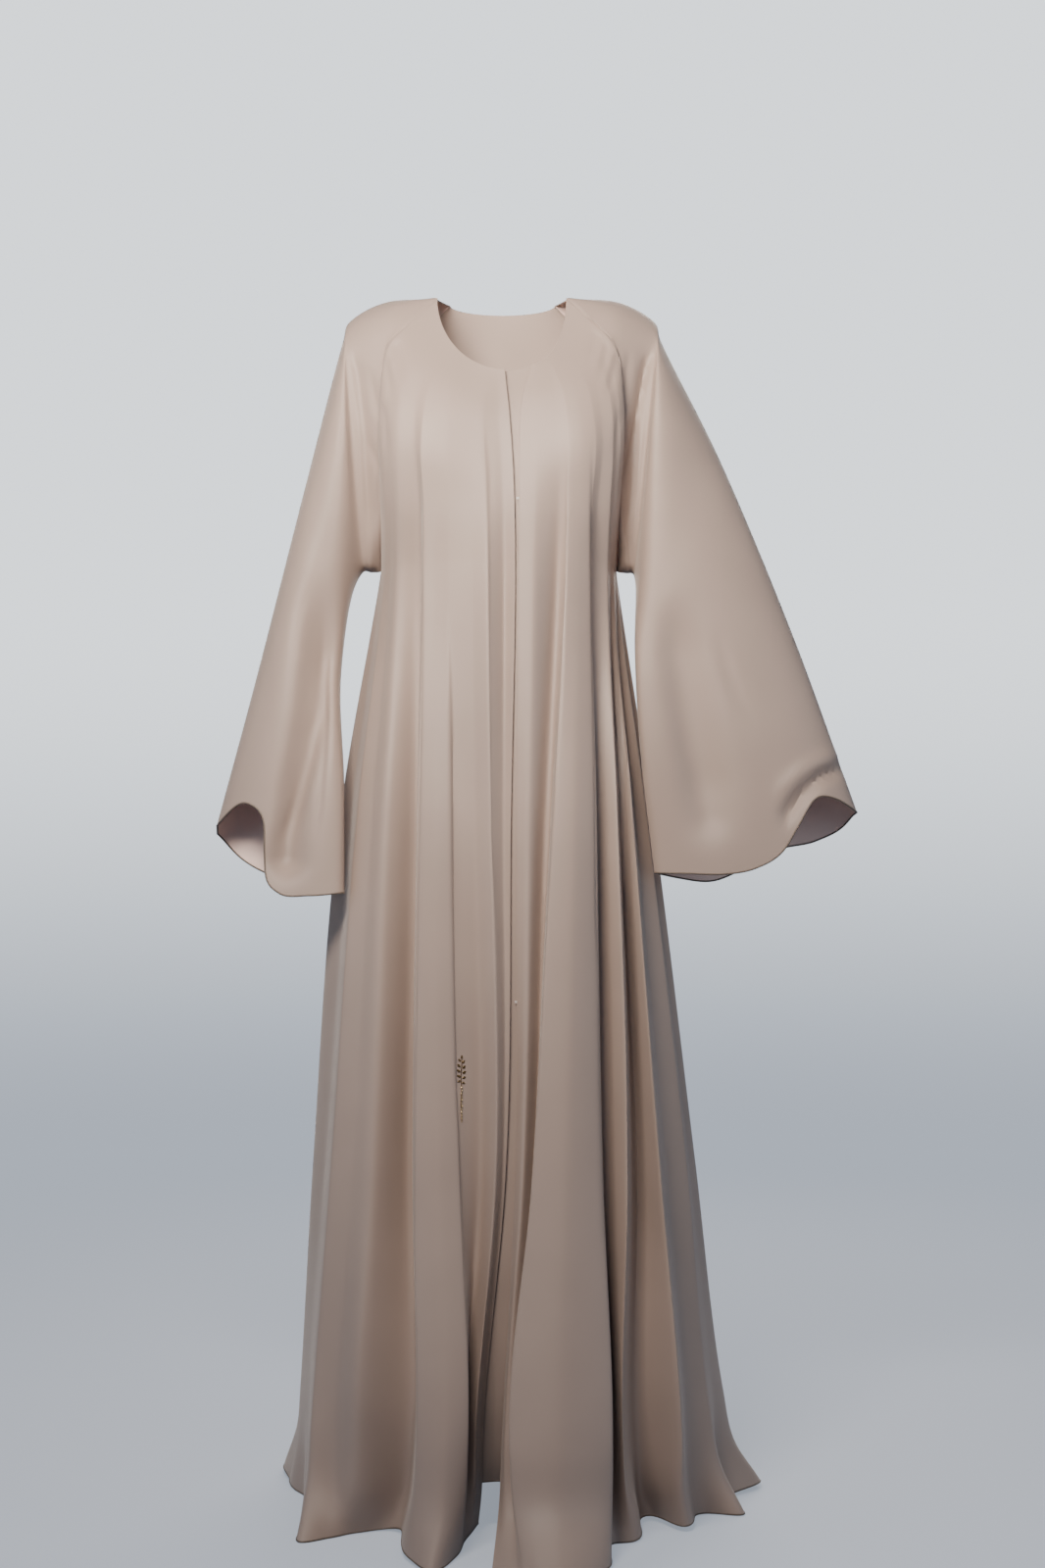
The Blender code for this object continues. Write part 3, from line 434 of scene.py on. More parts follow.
def cubic_through(knots, values, at, softness=None):
    """Smooth curve through values at rising knots, read at one place. Less softness at a
    knot makes it turn more tightly there."""
    last = len(knots) - 1
    index = 0
    while index < last - 1 and at > knots[index + 1]:
        index += 1

    def slope(place):
        low = max(place - 1, 0)
        high = min(place + 1, last)
        if low == place or high == place:
            return (values[high] - values[low]) / (knots[high] - knots[low])
        before = (values[place] - values[low]) / (knots[place] - knots[low])
        after = (values[high] - values[place]) / (knots[high] - knots[place])
        share = (knots[place] - knots[low]) / (knots[high] - knots[low])
        return (before * (1 - share) + after * share) * (softness[place] if softness else 1.0)

    span = knots[index + 1] - knots[index]
    t = (at - knots[index]) / span
    return (
        values[index] * (2 * t**3 - 3 * t**2 + 1)
        + slope(index) * span * (t**3 - 2 * t**2 + t)
        + values[index + 1] * (3 * t**2 - 2 * t**3)
        + slope(index + 1) * span * (t**3 - t**2)
    )


def knots_of(points):
    """Rising knots of a point list, by the root of each chord, so close points do not loop."""
    knots = [0.0]
    for here, there in zip(points, points[1:]):
        knots.append(knots[-1] + max(math.sqrt((there - here).length), 1e-4))
    return knots


def curve_at(points, share):
    """Point at a share of the way along a smooth curve through points given in mm."""
    vectors = [vector_mm(point) for point in points]
    knots = knots_of(vectors)
    return cubic_through(knots, vectors, knots[-1] * share)


def section_samples(chain, first, last, steps, softness=()):
    """Points along the chain's smooth curve from control point first to last. Softness says
    for each control point how roundly the cloth turns there."""
    knots = knots_of(chain)
    softness = softness or [1.0] * len(chain)
    samples = []
    for index in range(first, last):
        for step in range(steps):
            at = knots[index] + (knots[index + 1] - knots[index]) * step / steps
            samples.append(cubic_through(knots, chain, at, softness))
    samples.append(chain[last].copy())
    return samples


def shares_along(points):
    """Each point's share of the length of the line through all of them."""
    total = [0.0]
    for here, there in zip(points, points[1:]):
        total.append(total[-1] + (there - here).length)
    return [length / total[-1] for length in total]


def lower_controls(fold):
    """Control points of one fold line from underarm level to hem."""
    share = (CHEST_Z - HIP_Z) / (CHEST_Z - KNEE_Z)
    hip = Vector(fold.chest).lerp(Vector(fold.knee), share)
    hip += hip.normalized() * fold.bow
    foot = Vector(fold.ankle).lerp(Vector(fold.hem), FOOT_SHARE)
    places = (fold.chest, hip, fold.knee, fold.ankle, foot, fold.hem)
    heights = (CHEST_Z, HIP_Z, KNEE_Z, ANKLE_Z, FOOT_Z, HEM_Z)
    return [Vector((x * MM, y * MM, height)) for (x, y), height in zip(places, heights)]


def upper_point(flat, round_share, row, start, end):
    """Point of the bodice between its start edge and end edge at one height. Flat holds the
    point's shares across and deep at underarm level, round_share its share round the neck."""
    up = 1.0 - row
    turn = round_share * math.pi / 2
    across = flat[0] + (math.sin(turn) - flat[0]) * up**ACROSS_FADE
    depth = flat[1] + (math.cos(turn) - flat[1]) * up**DEPTH_FADE
    rise = 1 - math.cos(turn)
    return Vector((
        start.x + (end.x - start.x) * across,
        end.y + (start.y - end.y) * depth,
        start.z + (end.z - start.z) * rise,
    ))


def raglan(side, face, row):
    """Point of a raglan seam; row 0 is the neck and row 1 the underarm."""
    point = curve_at(FRONT_RAGLAN if face == "front" else BACK_RAGLAN, row)
    if side == "right":
        shift = RIGHT_UNDERARM_X + FRONT_RAGLAN[-1][0] * MM
        point.x = -point.x + shift * row**RIGHT_UNDERARM_FADE
    return point


def swollen(point, form, towards, share):
    """Moves a point by a soft form on either side, fading out at both edges of the panel."""
    across = (abs(point.x) - form.x) / form.wide
    up = (point.z - form.z) / form.tall
    fade = math.sqrt(max(0.0, math.sin(math.pi * share)))
    point.y += towards * form.out * math.exp(-across * across - up * up) * fade
    return point


def below_arm(upper, lower, share):
    """Control points from just above the underarm down; near the side seam the cloth
    hangs free of the armhole's slope."""
    span = (UNDERARM_ROW - UPPER_KNOTS[-1]) / (HIP_ROW - UNDERARM_ROW)
    free = lower[0] - (lower[1] - lower[0]) * span
    return [upper[-1].lerp(free, share**FREE_HANG_FADE)] + lower


def front_columns(side):
    """Control columns of a front: for each fold, its points from neckline to hem and those
    used below the arm."""
    folds = FRONT_LEFT_FOLDS if side == "left" else FRONT_RIGHT_FOLDS
    edge = LEFT_EDGE if side == "left" else RIGHT_EDGE
    lowers = [lower_controls(fold) for fold in folds]
    chest = [column[0] for column in lowers]
    first, last = chest[0], chest[-1]
    columns = []
    for share, place, lower in zip(shares_along(chest), chest, lowers):
        flat = ((place.x - first.x) / (last.x - first.x), (place.y - last.y) / (first.y - last.y))
        upper = []
        for row in UPPER_KNOTS:
            point = upper_point(flat, share, row, curve_at(edge, row), raglan(side, "front", row))
            upper.append(swollen(point, BUST, -1, share))
        columns.append((upper + lower, below_arm(upper, lower, share)))
    return columns


def back_columns():
    """Control columns of the back, from the wearer's left side seam to the right one."""
    lowers = [lower_controls(fold) for fold in BACK_FOLDS]
    chest = [column[0] for column in lowers]
    deepest = curve_at(BACK_MIDDLE, 1.0).y
    columns = []
    for share, place, lower in zip(shares_along(chest), chest, lowers):
        side, last = ("left", chest[0]) if share < 0.5 else ("right", chest[-1])
        from_middle = abs(share - 0.5) * 2
        flat = (place.x / last.x, (place.y - last.y) / (deepest - last.y))
        upper = []
        for row in UPPER_KNOTS:
            end = raglan(side, "back", row)
            point = upper_point(flat, from_middle, row, curve_at(BACK_MIDDLE, row), end)
            upper.append(swollen(point, SHOULDER_BLADE, 1, share))
        columns.append((upper + lower, below_arm(upper, lower, from_middle)))
    return columns


def chain_at(columns, row):
    """The fold lines' points at one height."""
    if row < UNDERARM_ROW:
        return [cubic_through(UPPER_KNOTS + LOWER_KNOTS, full, row) for full, below in columns]
    return [cubic_through(UPPER_KNOTS[-1:] + LOWER_KNOTS, below, row) for full, below in columns]


def softness_of(folds, row):
    """How roundly the cloth turns at each fold line of a panel, rounder towards the hem."""
    near_hem = max(0.0, (row - ANKLE_ROW) / (HEM_ROW - ANKLE_ROW))
    turns = []
    for fold in folds:
        turn = RIDGE_SOFTNESS if fold.name.startswith("ridge") else FOLD_SOFTNESS
        turns.append(turn + (HEM_SOFTNESS - turn) * near_hem)
    return turns


def panel_grids(rows, steps):
    """Middle surfaces of both fronts and the back, as rows of points. Below the underarm one
    smooth ring runs through all three."""
    left = front_columns("left")
    right = front_columns("right")
    back = back_columns()
    seam_left = len(left) - 1
    seam_right = seam_left + len(back) - 1
    grids = {"front_left": [], "front_right": [], "back": []}
    for row in rows:
        left_chain = chain_at(left, row)
        right_chain = chain_at(right, row)
        back_chain = chain_at(back, row)
        soft_left = softness_of(FRONT_LEFT_FOLDS, row)
        soft_right = softness_of(FRONT_RIGHT_FOLDS, row)
        soft_back = softness_of(BACK_FOLDS, row)
        soft_ring = soft_left + soft_back[1:-1] + soft_right[::-1]
        if row >= UNDERARM_ROW:
            ring = left_chain + back_chain[1:-1] + right_chain[::-1]
            grids["front_left"].append(section_samples(ring, 0, seam_left, steps, soft_ring))
            grids["back"].append(section_samples(ring, seam_left, seam_right, steps, soft_ring))
            right_part = section_samples(ring, seam_right, len(ring) - 1, steps, soft_ring)
            grids["front_right"].append(right_part[::-1])
        else:
            left_chain[-1] = raglan("left", "front", row)
            right_chain[-1] = raglan("right", "front", row)
            back_chain[0] = raglan("left", "back", row)
            back_chain[-1] = raglan("right", "back", row)
            softs = (soft_left, soft_right, soft_back)
            for name, chain, soft in zip(grids, (left_chain, right_chain, back_chain), softs):
                grids[name].append(section_samples(chain, 0, len(chain) - 1, steps, soft))
    return grids


def cuff_drop(table, along):
    """Smooth drop of a cuff at a share of the way to the wrist."""
    knots = [point.along for point in table]
    drops = [point.drop for point in table]
    return cubic_through(knots, drops, along) * MM


def sleeve_section(section, turn, cuffs):
    """Point of one sleeve section; turn runs once round from the under fold, front first."""
    along = (1 - math.cos(turn)) / 2
    side = math.sin(turn)
    low = vector_mm(section.under)
    high = vector_mm(section.top)
    point = low.lerp(high, along)
    fullness = UNDER_FULLNESS + (1 - UNDER_FULLNESS) * along
    stand_off = -section.front if side > 0 else section.back
    point.y += stand_off * MM * abs(side) ** SECTION_ROUNDNESS * fullness / MEAN_FULLNESS
    chord = high - low
    hang = Vector((chord.z, 0, -chord.x)).normalized()
    if hang.z > 0:
        hang = -hang
    zone = max(0.0, (section.share - (1 - CUFF_ZONE)) / CUFF_ZONE)
    drop = cuff_drop(cuffs[0] if side > 0 else cuffs[1], along)
    return point + hang * drop * zone * zone


def trough_depth(point, trough):
    """How far the cloth sinks in at a point of the sleeve's front."""
    line = [Vector((x * MM, z * MM)) for x, z in trough.line]
    place = Vector((point.x, point.z))
    distances = []
    shares = []
    for here, there in zip(line, line[1:]):
        along = there - here
        share = (place - here).dot(along) / along.length_squared
        shares.append(min(max(share, 0.0), 1.0))
        distances.append((place - (here + along * shares[-1])).length)
    fade = shares[0] ** 2 * (3 - 2 * shares[0])
    return trough.deep * fade * math.exp(-((min(distances) / trough.wide) ** 2))


def armhole_loop(side, rows):
    """The sleeve's first ring: up the front raglan seam, over the neck, down the back."""
    front = [raglan(side, "front", row) for row in reversed(rows)]
    back = [raglan(side, "back", row) for row in rows]
    neck = []
    for step in range(1, FINE_NECK_STEPS):
        share = step / FINE_NECK_STEPS
        bow = math.sin(math.pi * share)
        point = front[-1].lerp(back[0], share)
        point.x += math.copysign(NECK_BOW_OUT, point.x) * bow
        point.z += NECK_BOW_UP * bow
        neck.append(point)
    return front + neck + back[:-1]


def turns_round(loop):
    """Angle of each armhole point from its height, so the rings stay level with the seam."""
    low = loop[0].z
    top_index = max(range(len(loop)), key=lambda index: loop[index].z)
    span = loop[top_index].z - low
    turns = []
    for index, point in enumerate(loop):
        height = min(max((point.z - low) / span, 0.0), 1.0)
        turn = math.acos(1 - 2 * height)
        turns.append(turn if index <= top_index else 2 * math.pi - turn)
    return turns


def sleeve_grid(side, rows, sections_along):
    """Rings of a sleeve's middle surface from armhole to cuff."""
    if side == "left":
        sections, trough = LEFT_SLEEVE_SECTIONS, LEFT_SLEEVE_TROUGH
        cuffs = (LEFT_CUFF_FRONT, LEFT_CUFF_BACK)
    else:
        sections, trough = RIGHT_SLEEVE_SECTIONS, RIGHT_SLEEVE_TROUGH
        cuffs = (RIGHT_CUFF_FRONT, RIGHT_CUFF_BACK)
    first = armhole_loop(side, rows)
    count = len(first)
    turns = turns_round(first)
    knots = [0.0] + [section.share for section in sections]
    keys = [first]
    for section in sections:
        keys.append([sleeve_section(section, turn, cuffs) for turn in turns])
    grid = []
    for step in range(sections_along + 1):
        share = (step / sections_along) ** SLEEVE_ROW_SPREAD
        ring = []
        for index in range(count):
            point = cubic_through(knots, [key[index] for key in keys], share)
            if 0 < index < count / 2:
                point.y += trough_depth(point, trough)
            ring.append(point)
        grid.append(ring)
    return grid


def fine_rows():
    """Height parameters of the shells' rows, closer together towards the hem."""
    upper = [UNDERARM_ROW * step / FINE_UPPER_ROWS for step in range(FINE_UPPER_ROWS)]
    span = HEM_ROW - UNDERARM_ROW
    lower = []
    for step in range(FINE_LOWER_ROWS + 1):
        share = 1 - (1 - step / FINE_LOWER_ROWS) ** HEM_CROWDING
        lower.append(UNDERARM_ROW + span * share)
    return upper + lower


def as_array(grid):
    return np.array([[tuple(point) for point in line] for line in grid])


def grid_directions(points, closed):
    """Unit directions out of the cloth at each point of an array, for cloth whose columns
    run from the front edge or under fold the way its faces look outwards."""
    if closed:
        across = np.roll(points, -1, axis=1) - np.roll(points, 1, axis=1)
    else:
        across = np.gradient(points, axis=1)
    up = -np.gradient(points, axis=0)
    ways = np.cross(across, up)
    return ways / np.maximum(np.linalg.norm(ways, axis=2, keepdims=True), 1e-9)


def smooth_step(share):
    share = np.clip(share, 0, 1)
    return share * share * (3 - 2 * share)


def crease_depth(points, crease):
    """How far a crease sinks the cloth at each point of an array, seen from the front."""
    flat = points[..., (0, 2)]
    line = np.array(crease.line) * MM
    lengths = np.linalg.norm(np.diff(line, axis=0), axis=1)
    nearest = np.full(flat.shape[:2], np.inf)
    share = np.zeros(flat.shape[:2])
    wide = np.ones(flat.shape[:2])
    before = 0.0
    for here, there, length in zip(line, line[1:], lengths):
        along = np.clip(((flat - here) @ (there - here)) / length**2, 0, 1)
        apart = flat - (here + along[..., None] * (there - here))
        distance = np.linalg.norm(apart, axis=2)
        closer = distance < nearest
        nearest = np.where(closer, distance, nearest)
        width = np.where(apart[..., 0] < 0, crease.minus, crease.plus)
        wide = np.where(closer, width, wide)
        share = np.where(closer, (before + along * length) / lengths.sum(), share)
        before += length
    fade = smooth_step(share / max(crease.starts, 1e-3))
    fade *= smooth_step((1 - share) / max(crease.ends, 1e-3))
    return crease.deep * MM * np.exp(-((nearest / (wide * MM)) ** 2)) * fade


def lengths_across(points):
    """Distance of each point from its row's first one, along the cloth."""
    steps = np.linalg.norm(np.diff(points, axis=1), axis=2)
    return np.concatenate([np.zeros((len(points), 1)), np.cumsum(steps, axis=1)], axis=1)


def lengths_down(points):
    """Distance of each point from its column's first one, along the cloth."""
    return lengths_across(points.transpose(1, 0, 2)).T


def creased(name, points, closed):
    """Adds a piece's creases, each on the side of the garment where it shows."""
    ways = grid_directions(points, closed)
    facing = 1 if name == "back" else -1
    shown = np.clip(ways[..., 1] * facing * 3, 0, 1)
    sink = np.zeros(points.shape[:2])
    for crease in CREASES.get(name, ()):
        sink += crease_depth(points, crease) * shown
    return points - ways * sink[..., None]


def seam_dipped(points, closed, edges):
    """Sinks the cloth a little along its sewn edges: first or last column or row."""
    ways = grid_directions(points, closed)
    across = lengths_across(points)
    down = lengths_down(points)
    away = {
        "start": across, "end": across[:, -1:] - across,
        "top": down, "bottom": down[-1:] - down,
    }
    sink = np.zeros(points.shape[:2])
    for edge in edges:
        sink = np.maximum(sink, np.exp(-((away[edge] / SEAM_DIP_WIDTH) ** 2)))
    return points - ways * (sink * SEAM_DIP)[..., None]


def underlap_points(rows, arrays):
    """Fine middle surface of the strip behind the front edges."""
    ways = {name: grid_directions(arrays[name], False) for name in ("front_left", "front_right")}
    ways["front_right"] = -ways["front_right"]
    lines = []
    for index, row in enumerate(rows):
        if row > UNDERLAP_LAST_ROW:
            break
        free = (row - UNDERLAP_FREE_FROM) / (UNDERLAP_FREE_BY - UNDERLAP_FREE_FROM)
        free = min(max(free, 0.0), 1.0)
        beside = Vector(arrays["front_right"][index, 0]) + Vector((0, UNDERLAP_FREE_DEPTH, 0))
        chain = []
        for front, halves, behind in UNDERLAP_COLUMNS:
            column = halves * FINE_STEPS // 2
            outward = Vector(ways[front][index, column])
            point = Vector(arrays[front][index, column]) - outward * behind
            if front == "front_left":
                beside.x += UNDERLAP_FREE_STEP
                point = point.lerp(beside, free)
            chain.append(point)
        lines.append(section_samples(chain, 0, len(chain) - 1, UNDERLAP_STEPS))
    return as_array(lines)


def cloth_points():
    """Fine middle surfaces of all the cloth pieces, whose faces look outwards."""
    rows = fine_rows()
    grids = panel_grids(rows, FINE_STEPS)
    for side in ("left", "right"):
        armhole_rows = rows[: FINE_UPPER_ROWS + 1]
        grids["sleeve_" + side] = sleeve_grid(side, armhole_rows, FINE_SLEEVE_ROWS)
    arrays = {name: as_array(grid) for name, grid in grids.items()}
    arrays["underlap"] = underlap_points(rows, arrays)
    for name in ("front_right", "sleeve_right"):
        arrays[name] = arrays[name][:, ::-1]
    return arrays


def rippled(points):
    """Waves near the body's hem, the same on both sides of each seam."""
    near = smooth_step((RIPPLES_FROM - points[..., 2]) / (RIPPLES_FROM - HEM_Z))
    angle = np.arctan2(points[..., 1], points[..., 0])
    wave = 0.6 * np.sin(LONG_RIPPLES * angle + 0.6) + 0.4 * np.sin(SHORT_RIPPLES * angle + 2.0)
    lift = near * (0.5 + 0.5 * np.sin(LIFTS * angle + 1.1))
    out = points[..., :2] / np.linalg.norm(points[..., :2], axis=2, keepdims=True)
    moved = points.copy()
    moved[..., :2] += out * (wave * near * RIPPLE_OUT)[..., None]
    moved[..., 2] += lift * near * RIPPLE_LIFT
    return moved


@lru_cache(maxsize=1)
def dressed_points():
    """The cloth's middle surfaces with their creases and seams."""
    dressed = {}
    for name, points in cloth_points().items():
        closed = name.startswith("sleeve")
        if not closed:
            points = rippled(points)
        dressed[name] = seam_dipped(creased(name, points, closed), closed, SEWN_EDGES[name])
    return dressed


def tube_points(line, ways, radius):
    """Rings of points round a line. Ways are directions off the cloth along it."""
    along = np.gradient(line, axis=0)
    along /= np.linalg.norm(along, axis=1, keepdims=True)
    ways = ways - (ways * along).sum(axis=1, keepdims=True) * along
    ways /= np.linalg.norm(ways, axis=1, keepdims=True)
    beside = np.cross(ways, along)
    turn = (np.arange(TUBE_SIDES) * 2 * math.pi / TUBE_SIDES)[None, :, None]
    return line[:, None] + radius * (np.cos(turn) * ways[:, None] + np.sin(turn) * beside[:, None])


def on_panel(points, x, z):
    """Point of a panel at a place seen from the front."""
    level = []
    for column in points.transpose(1, 0, 2):
        level.append([np.interp(-z, -column[:, 2], column[:, axis]) for axis in range(3)])
    level = np.array(level)
    level = level[np.argsort(level[:, 0])]
    return Vector([np.interp(x, level[:, 0], level[:, axis]) for axis in range(3)])


def panel_matrix(points, x, z):
    """Place on a panel with its right, its up and its way out."""
    here = on_panel(points, x, z)
    right = (on_panel(points, x + MM, z) - here).normalized()
    up = on_panel(points, x, z + MM) - here
    out = right.cross(up).normalized()
    up = out.cross(right)
    return Matrix.LocRotScale(here, Matrix((right, up, out)).transposed().to_quaternion(), None)


def deselect_all():
    for item in bpy.context.selected_objects:
        item.select_set(False)


def make_active(piece):
    deselect_all()
    piece.select_set(True)
    bpy.context.view_layer.objects.active = piece


def shaped_grid(name, points, closed=False):
    """A grid primitive whose points are moved onto the rows and columns of an array, with a
    UV map in metres along the cloth."""
    if closed:
        points = np.concatenate([points, points[:, :1]], axis=1)
    rows, columns = points.shape[:2]
    deselect_all()
    bpy.ops.mesh.primitive_grid_add(x_subdivisions=columns - 1, y_subdivisions=rows - 1, size=1)
    piece = bpy.context.active_object
    piece.name = name
    mesh = piece.data
    mesh.name = name
    count = len(mesh.vertices)
    flat = np.empty(count * 3)
    mesh.vertices.foreach_get("co", flat)
    flat = flat.reshape(-1, 3)
    column = np.rint((flat[:, 0] + 0.5) * (columns - 1)).astype(int)
    row = np.rint((0.5 - flat[:, 1]) * (rows - 1)).astype(int)
    mesh.vertices.foreach_set("co", points[row, column].ravel())
    corner = np.empty(len(mesh.loops), int)
    mesh.loops.foreach_get("vertex_index", corner)
    places = np.stack([lengths_across(points), -lengths_down(points)], axis=2)
    uv = places[row[corner], column[corner]]
    mesh.uv_layers[0].data.foreach_set("uv", uv.ravel())
    if closed:
        make_active(piece)
        bpy.ops.object.mode_set(mode="EDIT")
        bpy.ops.mesh.select_all(action="SELECT")
        bpy.ops.mesh.remove_doubles(threshold=0.01 * MM)
        bpy.ops.object.mode_set(mode="OBJECT")
    mesh.update()
    return piece


def apply_modifier(piece, kind, **values):
    """Adds a modifier with its values and applies it."""
    make_active(piece)
    modifier = piece.modifiers.new(kind.lower(), kind)
    for key, value in values.items():
        setattr(modifier, key, value)
    bpy.ops.object.modifier_apply(modifier=modifier.name)


def finish_piece(piece, materials, replaced=()):
    """Gives a finished piece its materials and body, and hides the nodes it stands for."""
    for material in materials:
        piece.data.materials.append(material)
    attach(piece, "root")
    if replaced:
        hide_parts(*replaced)
    return piece


def cloth_shell(name, points, closed, replaced):
    """A thin shell of cloth on an array of points, outside in the crepe's colour, inside in lighter
    colours that are painted light.
    """
    settings = bpy.context.scene.abaya_cloth
    piece = shaped_grid("cloth_" + name, points, closed)
    piece.data.materials.append(crepe_material("crepe_outside", settings.outside_colour))
    # Both inside colours are lighter than the outside as painted light for light reaching the inside, the
    # sleeves' most of all
    if closed:
        inside = crepe_material("crepe_in_sleeve", settings.sleeve_painted_light_colour)
    else:
        inside = crepe_material("crepe_inside", settings.inside_painted_light_colour)
    piece.data.materials.append(inside)
    apply_modifier(
        piece, "SOLIDIFY", thickness=settings.thickness, offset=0.0, material_offset=1,
        use_quality_normals=True,
    )
    make_active(piece)
    bpy.ops.object.shade_smooth_by_angle(angle=math.radians(50))
    return finish_piece(piece, (), replaced)


def node_of(tree, kind, place, **values):
    """Adds a shader node and sets its plain properties."""
    node = tree.nodes.new(kind)
    node.location = place
    for key, value in values.items():
        setattr(node, key, value)
    return node


def set_inputs(node, **values):
    for key, value in values.items():
        node.inputs[key.replace("_", " ")].default_value = value


def weave_group():
    """Shader group: the fine grain of satin crepe, with slow changes of shade and shine."""
    group = bpy.data.node_groups.get("satin_weave")
    if group:
        return group
    group = bpy.data.node_groups.new("satin_weave", "ShaderNodeTree")
    colour_in = group.interface.new_socket("Colour", in_out="INPUT", socket_type="NodeSocketColor")
    colour_in.default_value = (0.5, 0.5, 0.5, 1)
    thread_in = group.interface.new_socket("Thread", in_out="INPUT", socket_type="NodeSocketFloat")
    thread_in.default_value = 0.0006
    for name, kind in (("Colour", "Color"), ("Roughness", "Float"), ("Height", "Float")):
        group.interface.new_socket(name, in_out="OUTPUT", socket_type="NodeSocket" + kind)
    start = node_of(group, "NodeGroupInput", (-1200, 0))
    end = node_of(group, "NodeGroupOutput", (700, 0))
    place = node_of(group, "ShaderNodeTexCoord", (-1200, -300))
    repeat = node_of(group, "ShaderNodeMath", (-1000, 0), operation="DIVIDE")
    repeat.inputs[0].default_value = 0.314
    group.links.new(start.outputs["Thread"], repeat.inputs[1])
    weft = node_of(group, "ShaderNodeTexWave", (-700, 0), bands_direction="Y")
    warp = node_of(group, "ShaderNodeTexWave", (-700, -300), bands_direction="X")
    for wave in (weft, warp):
        set_inputs(wave, Distortion=3.0, Detail=1.0)
        group.links.new(place.outputs["UV"], wave.inputs["Vector"])
        group.links.new(repeat.outputs[0], wave.inputs["Scale"])
    crinkle = node_of(group, "ShaderNodeTexNoise", (-700, -600))
    set_inputs(crinkle, Scale=260.0, Detail=3.0)
    group.links.new(place.outputs["Object"], crinkle.inputs["Vector"])
    shade = node_of(group, "ShaderNodeTexNoise", (-700, 300))
    set_inputs(shade, Scale=7.0, Detail=2.0)
    group.links.new(place.outputs["Object"], shade.inputs["Vector"])
    threads = node_of(group, "ShaderNodeMath", (-450, -100), operation="MULTIPLY_ADD")
    group.links.new(weft.outputs["Fac"], threads.inputs[0])
    threads.inputs[1].default_value = 0.6
    group.links.new(warp.outputs["Fac"], threads.inputs[2])
    height = node_of(group, "ShaderNodeMath", (-200, -300), operation="ADD")
    group.links.new(threads.outputs[0], height.inputs[0])
    group.links.new(crinkle.outputs["Fac"], height.inputs[1])
    tint = node_of(group, "ShaderNodeHueSaturation", (200, 100))
    change = node_of(group, "ShaderNodeMapRange", (-200, 300))
    set_inputs(change, From_Min=0.3, From_Max=0.7, To_Min=0.95, To_Max=1.05)
    group.links.new(shade.outputs["Fac"], change.inputs["Value"])
    group.links.new(change.outputs["Result"], tint.inputs["Value"])
    group.links.new(start.outputs["Colour"], tint.inputs["Color"])
    shine = node_of(group, "ShaderNodeMapRange", (200, -200))
    set_inputs(shine, From_Min=0.2, From_Max=0.8, To_Min=0.40, To_Max=0.48)
    group.links.new(crinkle.outputs["Fac"], shine.inputs["Value"])
    group.links.new(tint.outputs["Color"], end.inputs["Colour"])
    group.links.new(shine.outputs["Result"], end.inputs["Roughness"])
    group.links.new(height.outputs[0], end.inputs["Height"])
    return group


def crepe_material(name, colour, thread=None, relief=0.0002):
    """Satin crepe or sewn thread: soft sheen, a fine grain and a faint unevenness of shade."""
    material = bpy.data.materials.get(name)
    if material:
        return material
    settings = bpy.context.scene.abaya_cloth
    material = bpy.data.materials.new(name)
    material.use_nodes = True
    tree = material.node_tree
    shader = tree.nodes["Principled BSDF"]
    set_inputs(
        shader, IOR=1.46, Sheen_Weight=settings.sheen, Sheen_Roughness=0.35,
        Specular_IOR_Level=0.45,
    )
    shader.inputs["Sheen Tint"].default_value = (1.0, 0.95, 0.90, 1)
    weave = node_of(tree, "ShaderNodeGroup", (-500, 0), node_tree=weave_group())
    weave.inputs["Colour"].default_value = (*colour, 1)
    weave.inputs["Thread"].default_value = thread or settings.thread
    bump = node_of(tree, "ShaderNodeBump", (-250, -300))
    set_inputs(bump, Strength=0.25, Distance=relief)
    tree.links.new(weave.outputs["Colour"], shader.inputs["Base Color"])
    tree.links.new(weave.outputs["Roughness"], shader.inputs["Roughness"])
    tree.links.new(weave.outputs["Height"], bump.inputs["Height"])
    tree.links.new(bump.outputs["Normal"], shader.inputs["Normal"])
    return material


def metal_material(name, colour, roughness):
    """Small cast metal: an uneven shine."""
    material = bpy.data.materials.get(name)
    if material:
        return material
    material = bpy.data.materials.new(name)
    material.use_nodes = True
    tree = material.node_tree
    shader = tree.nodes["Principled BSDF"]
    set_inputs(shader, Metallic=0.8)
    shader.inputs["Base Color"].default_value = (*colour, 1)
    place = node_of(tree, "ShaderNodeTexCoord", (-900, 0))
    grain = node_of(tree, "ShaderNodeTexNoise", (-700, 0))
    set_inputs(grain, Scale=900.0, Detail=2.0)
    tree.links.new(place.outputs["Object"], grain.inputs["Vector"])
    shine = node_of(tree, "ShaderNodeMapRange", (-400, 0))
    set_inputs(shine, From_Min=0.3, From_Max=0.7, To_Min=roughness - 0.1, To_Max=roughness + 0.1)
    tree.links.new(grain.outputs["Fac"], shine.inputs["Value"])
    tree.links.new(shine.outputs["Result"], shader.inputs["Roughness"])
    return material


def rolled_tube(name, line, ways, radius, material):
    """Cord sewn along an edge, as a mesh tube."""
    piece = shaped_grid(name, tube_points(line, ways, radius), True)
    make_active(piece)
    bpy.ops.object.shade_smooth()
    return finish_piece(piece, (material,))


def set_in(edge, beside):
    """An edge's points moved a little towards their neighbours in the cloth."""
    step = beside - edge
    return edge + step / np.linalg.norm(step, axis=1, keepdims=True) * ROLL_INSET


def joined(name, parts, material, replaced=()):
    """One finished piece from several meshes."""
    deselect_all()
    for part in parts:
        part.select_set(True)
    bpy.context.view_layer.objects.active = parts[0]
    bpy.ops.object.join()
    piece = bpy.context.active_object
    piece.name = name
    piece.data.name = name
    bpy.ops.object.shade_smooth_by_angle(angle=math.radians(40))
    return finish_piece(piece, (material,), replaced)


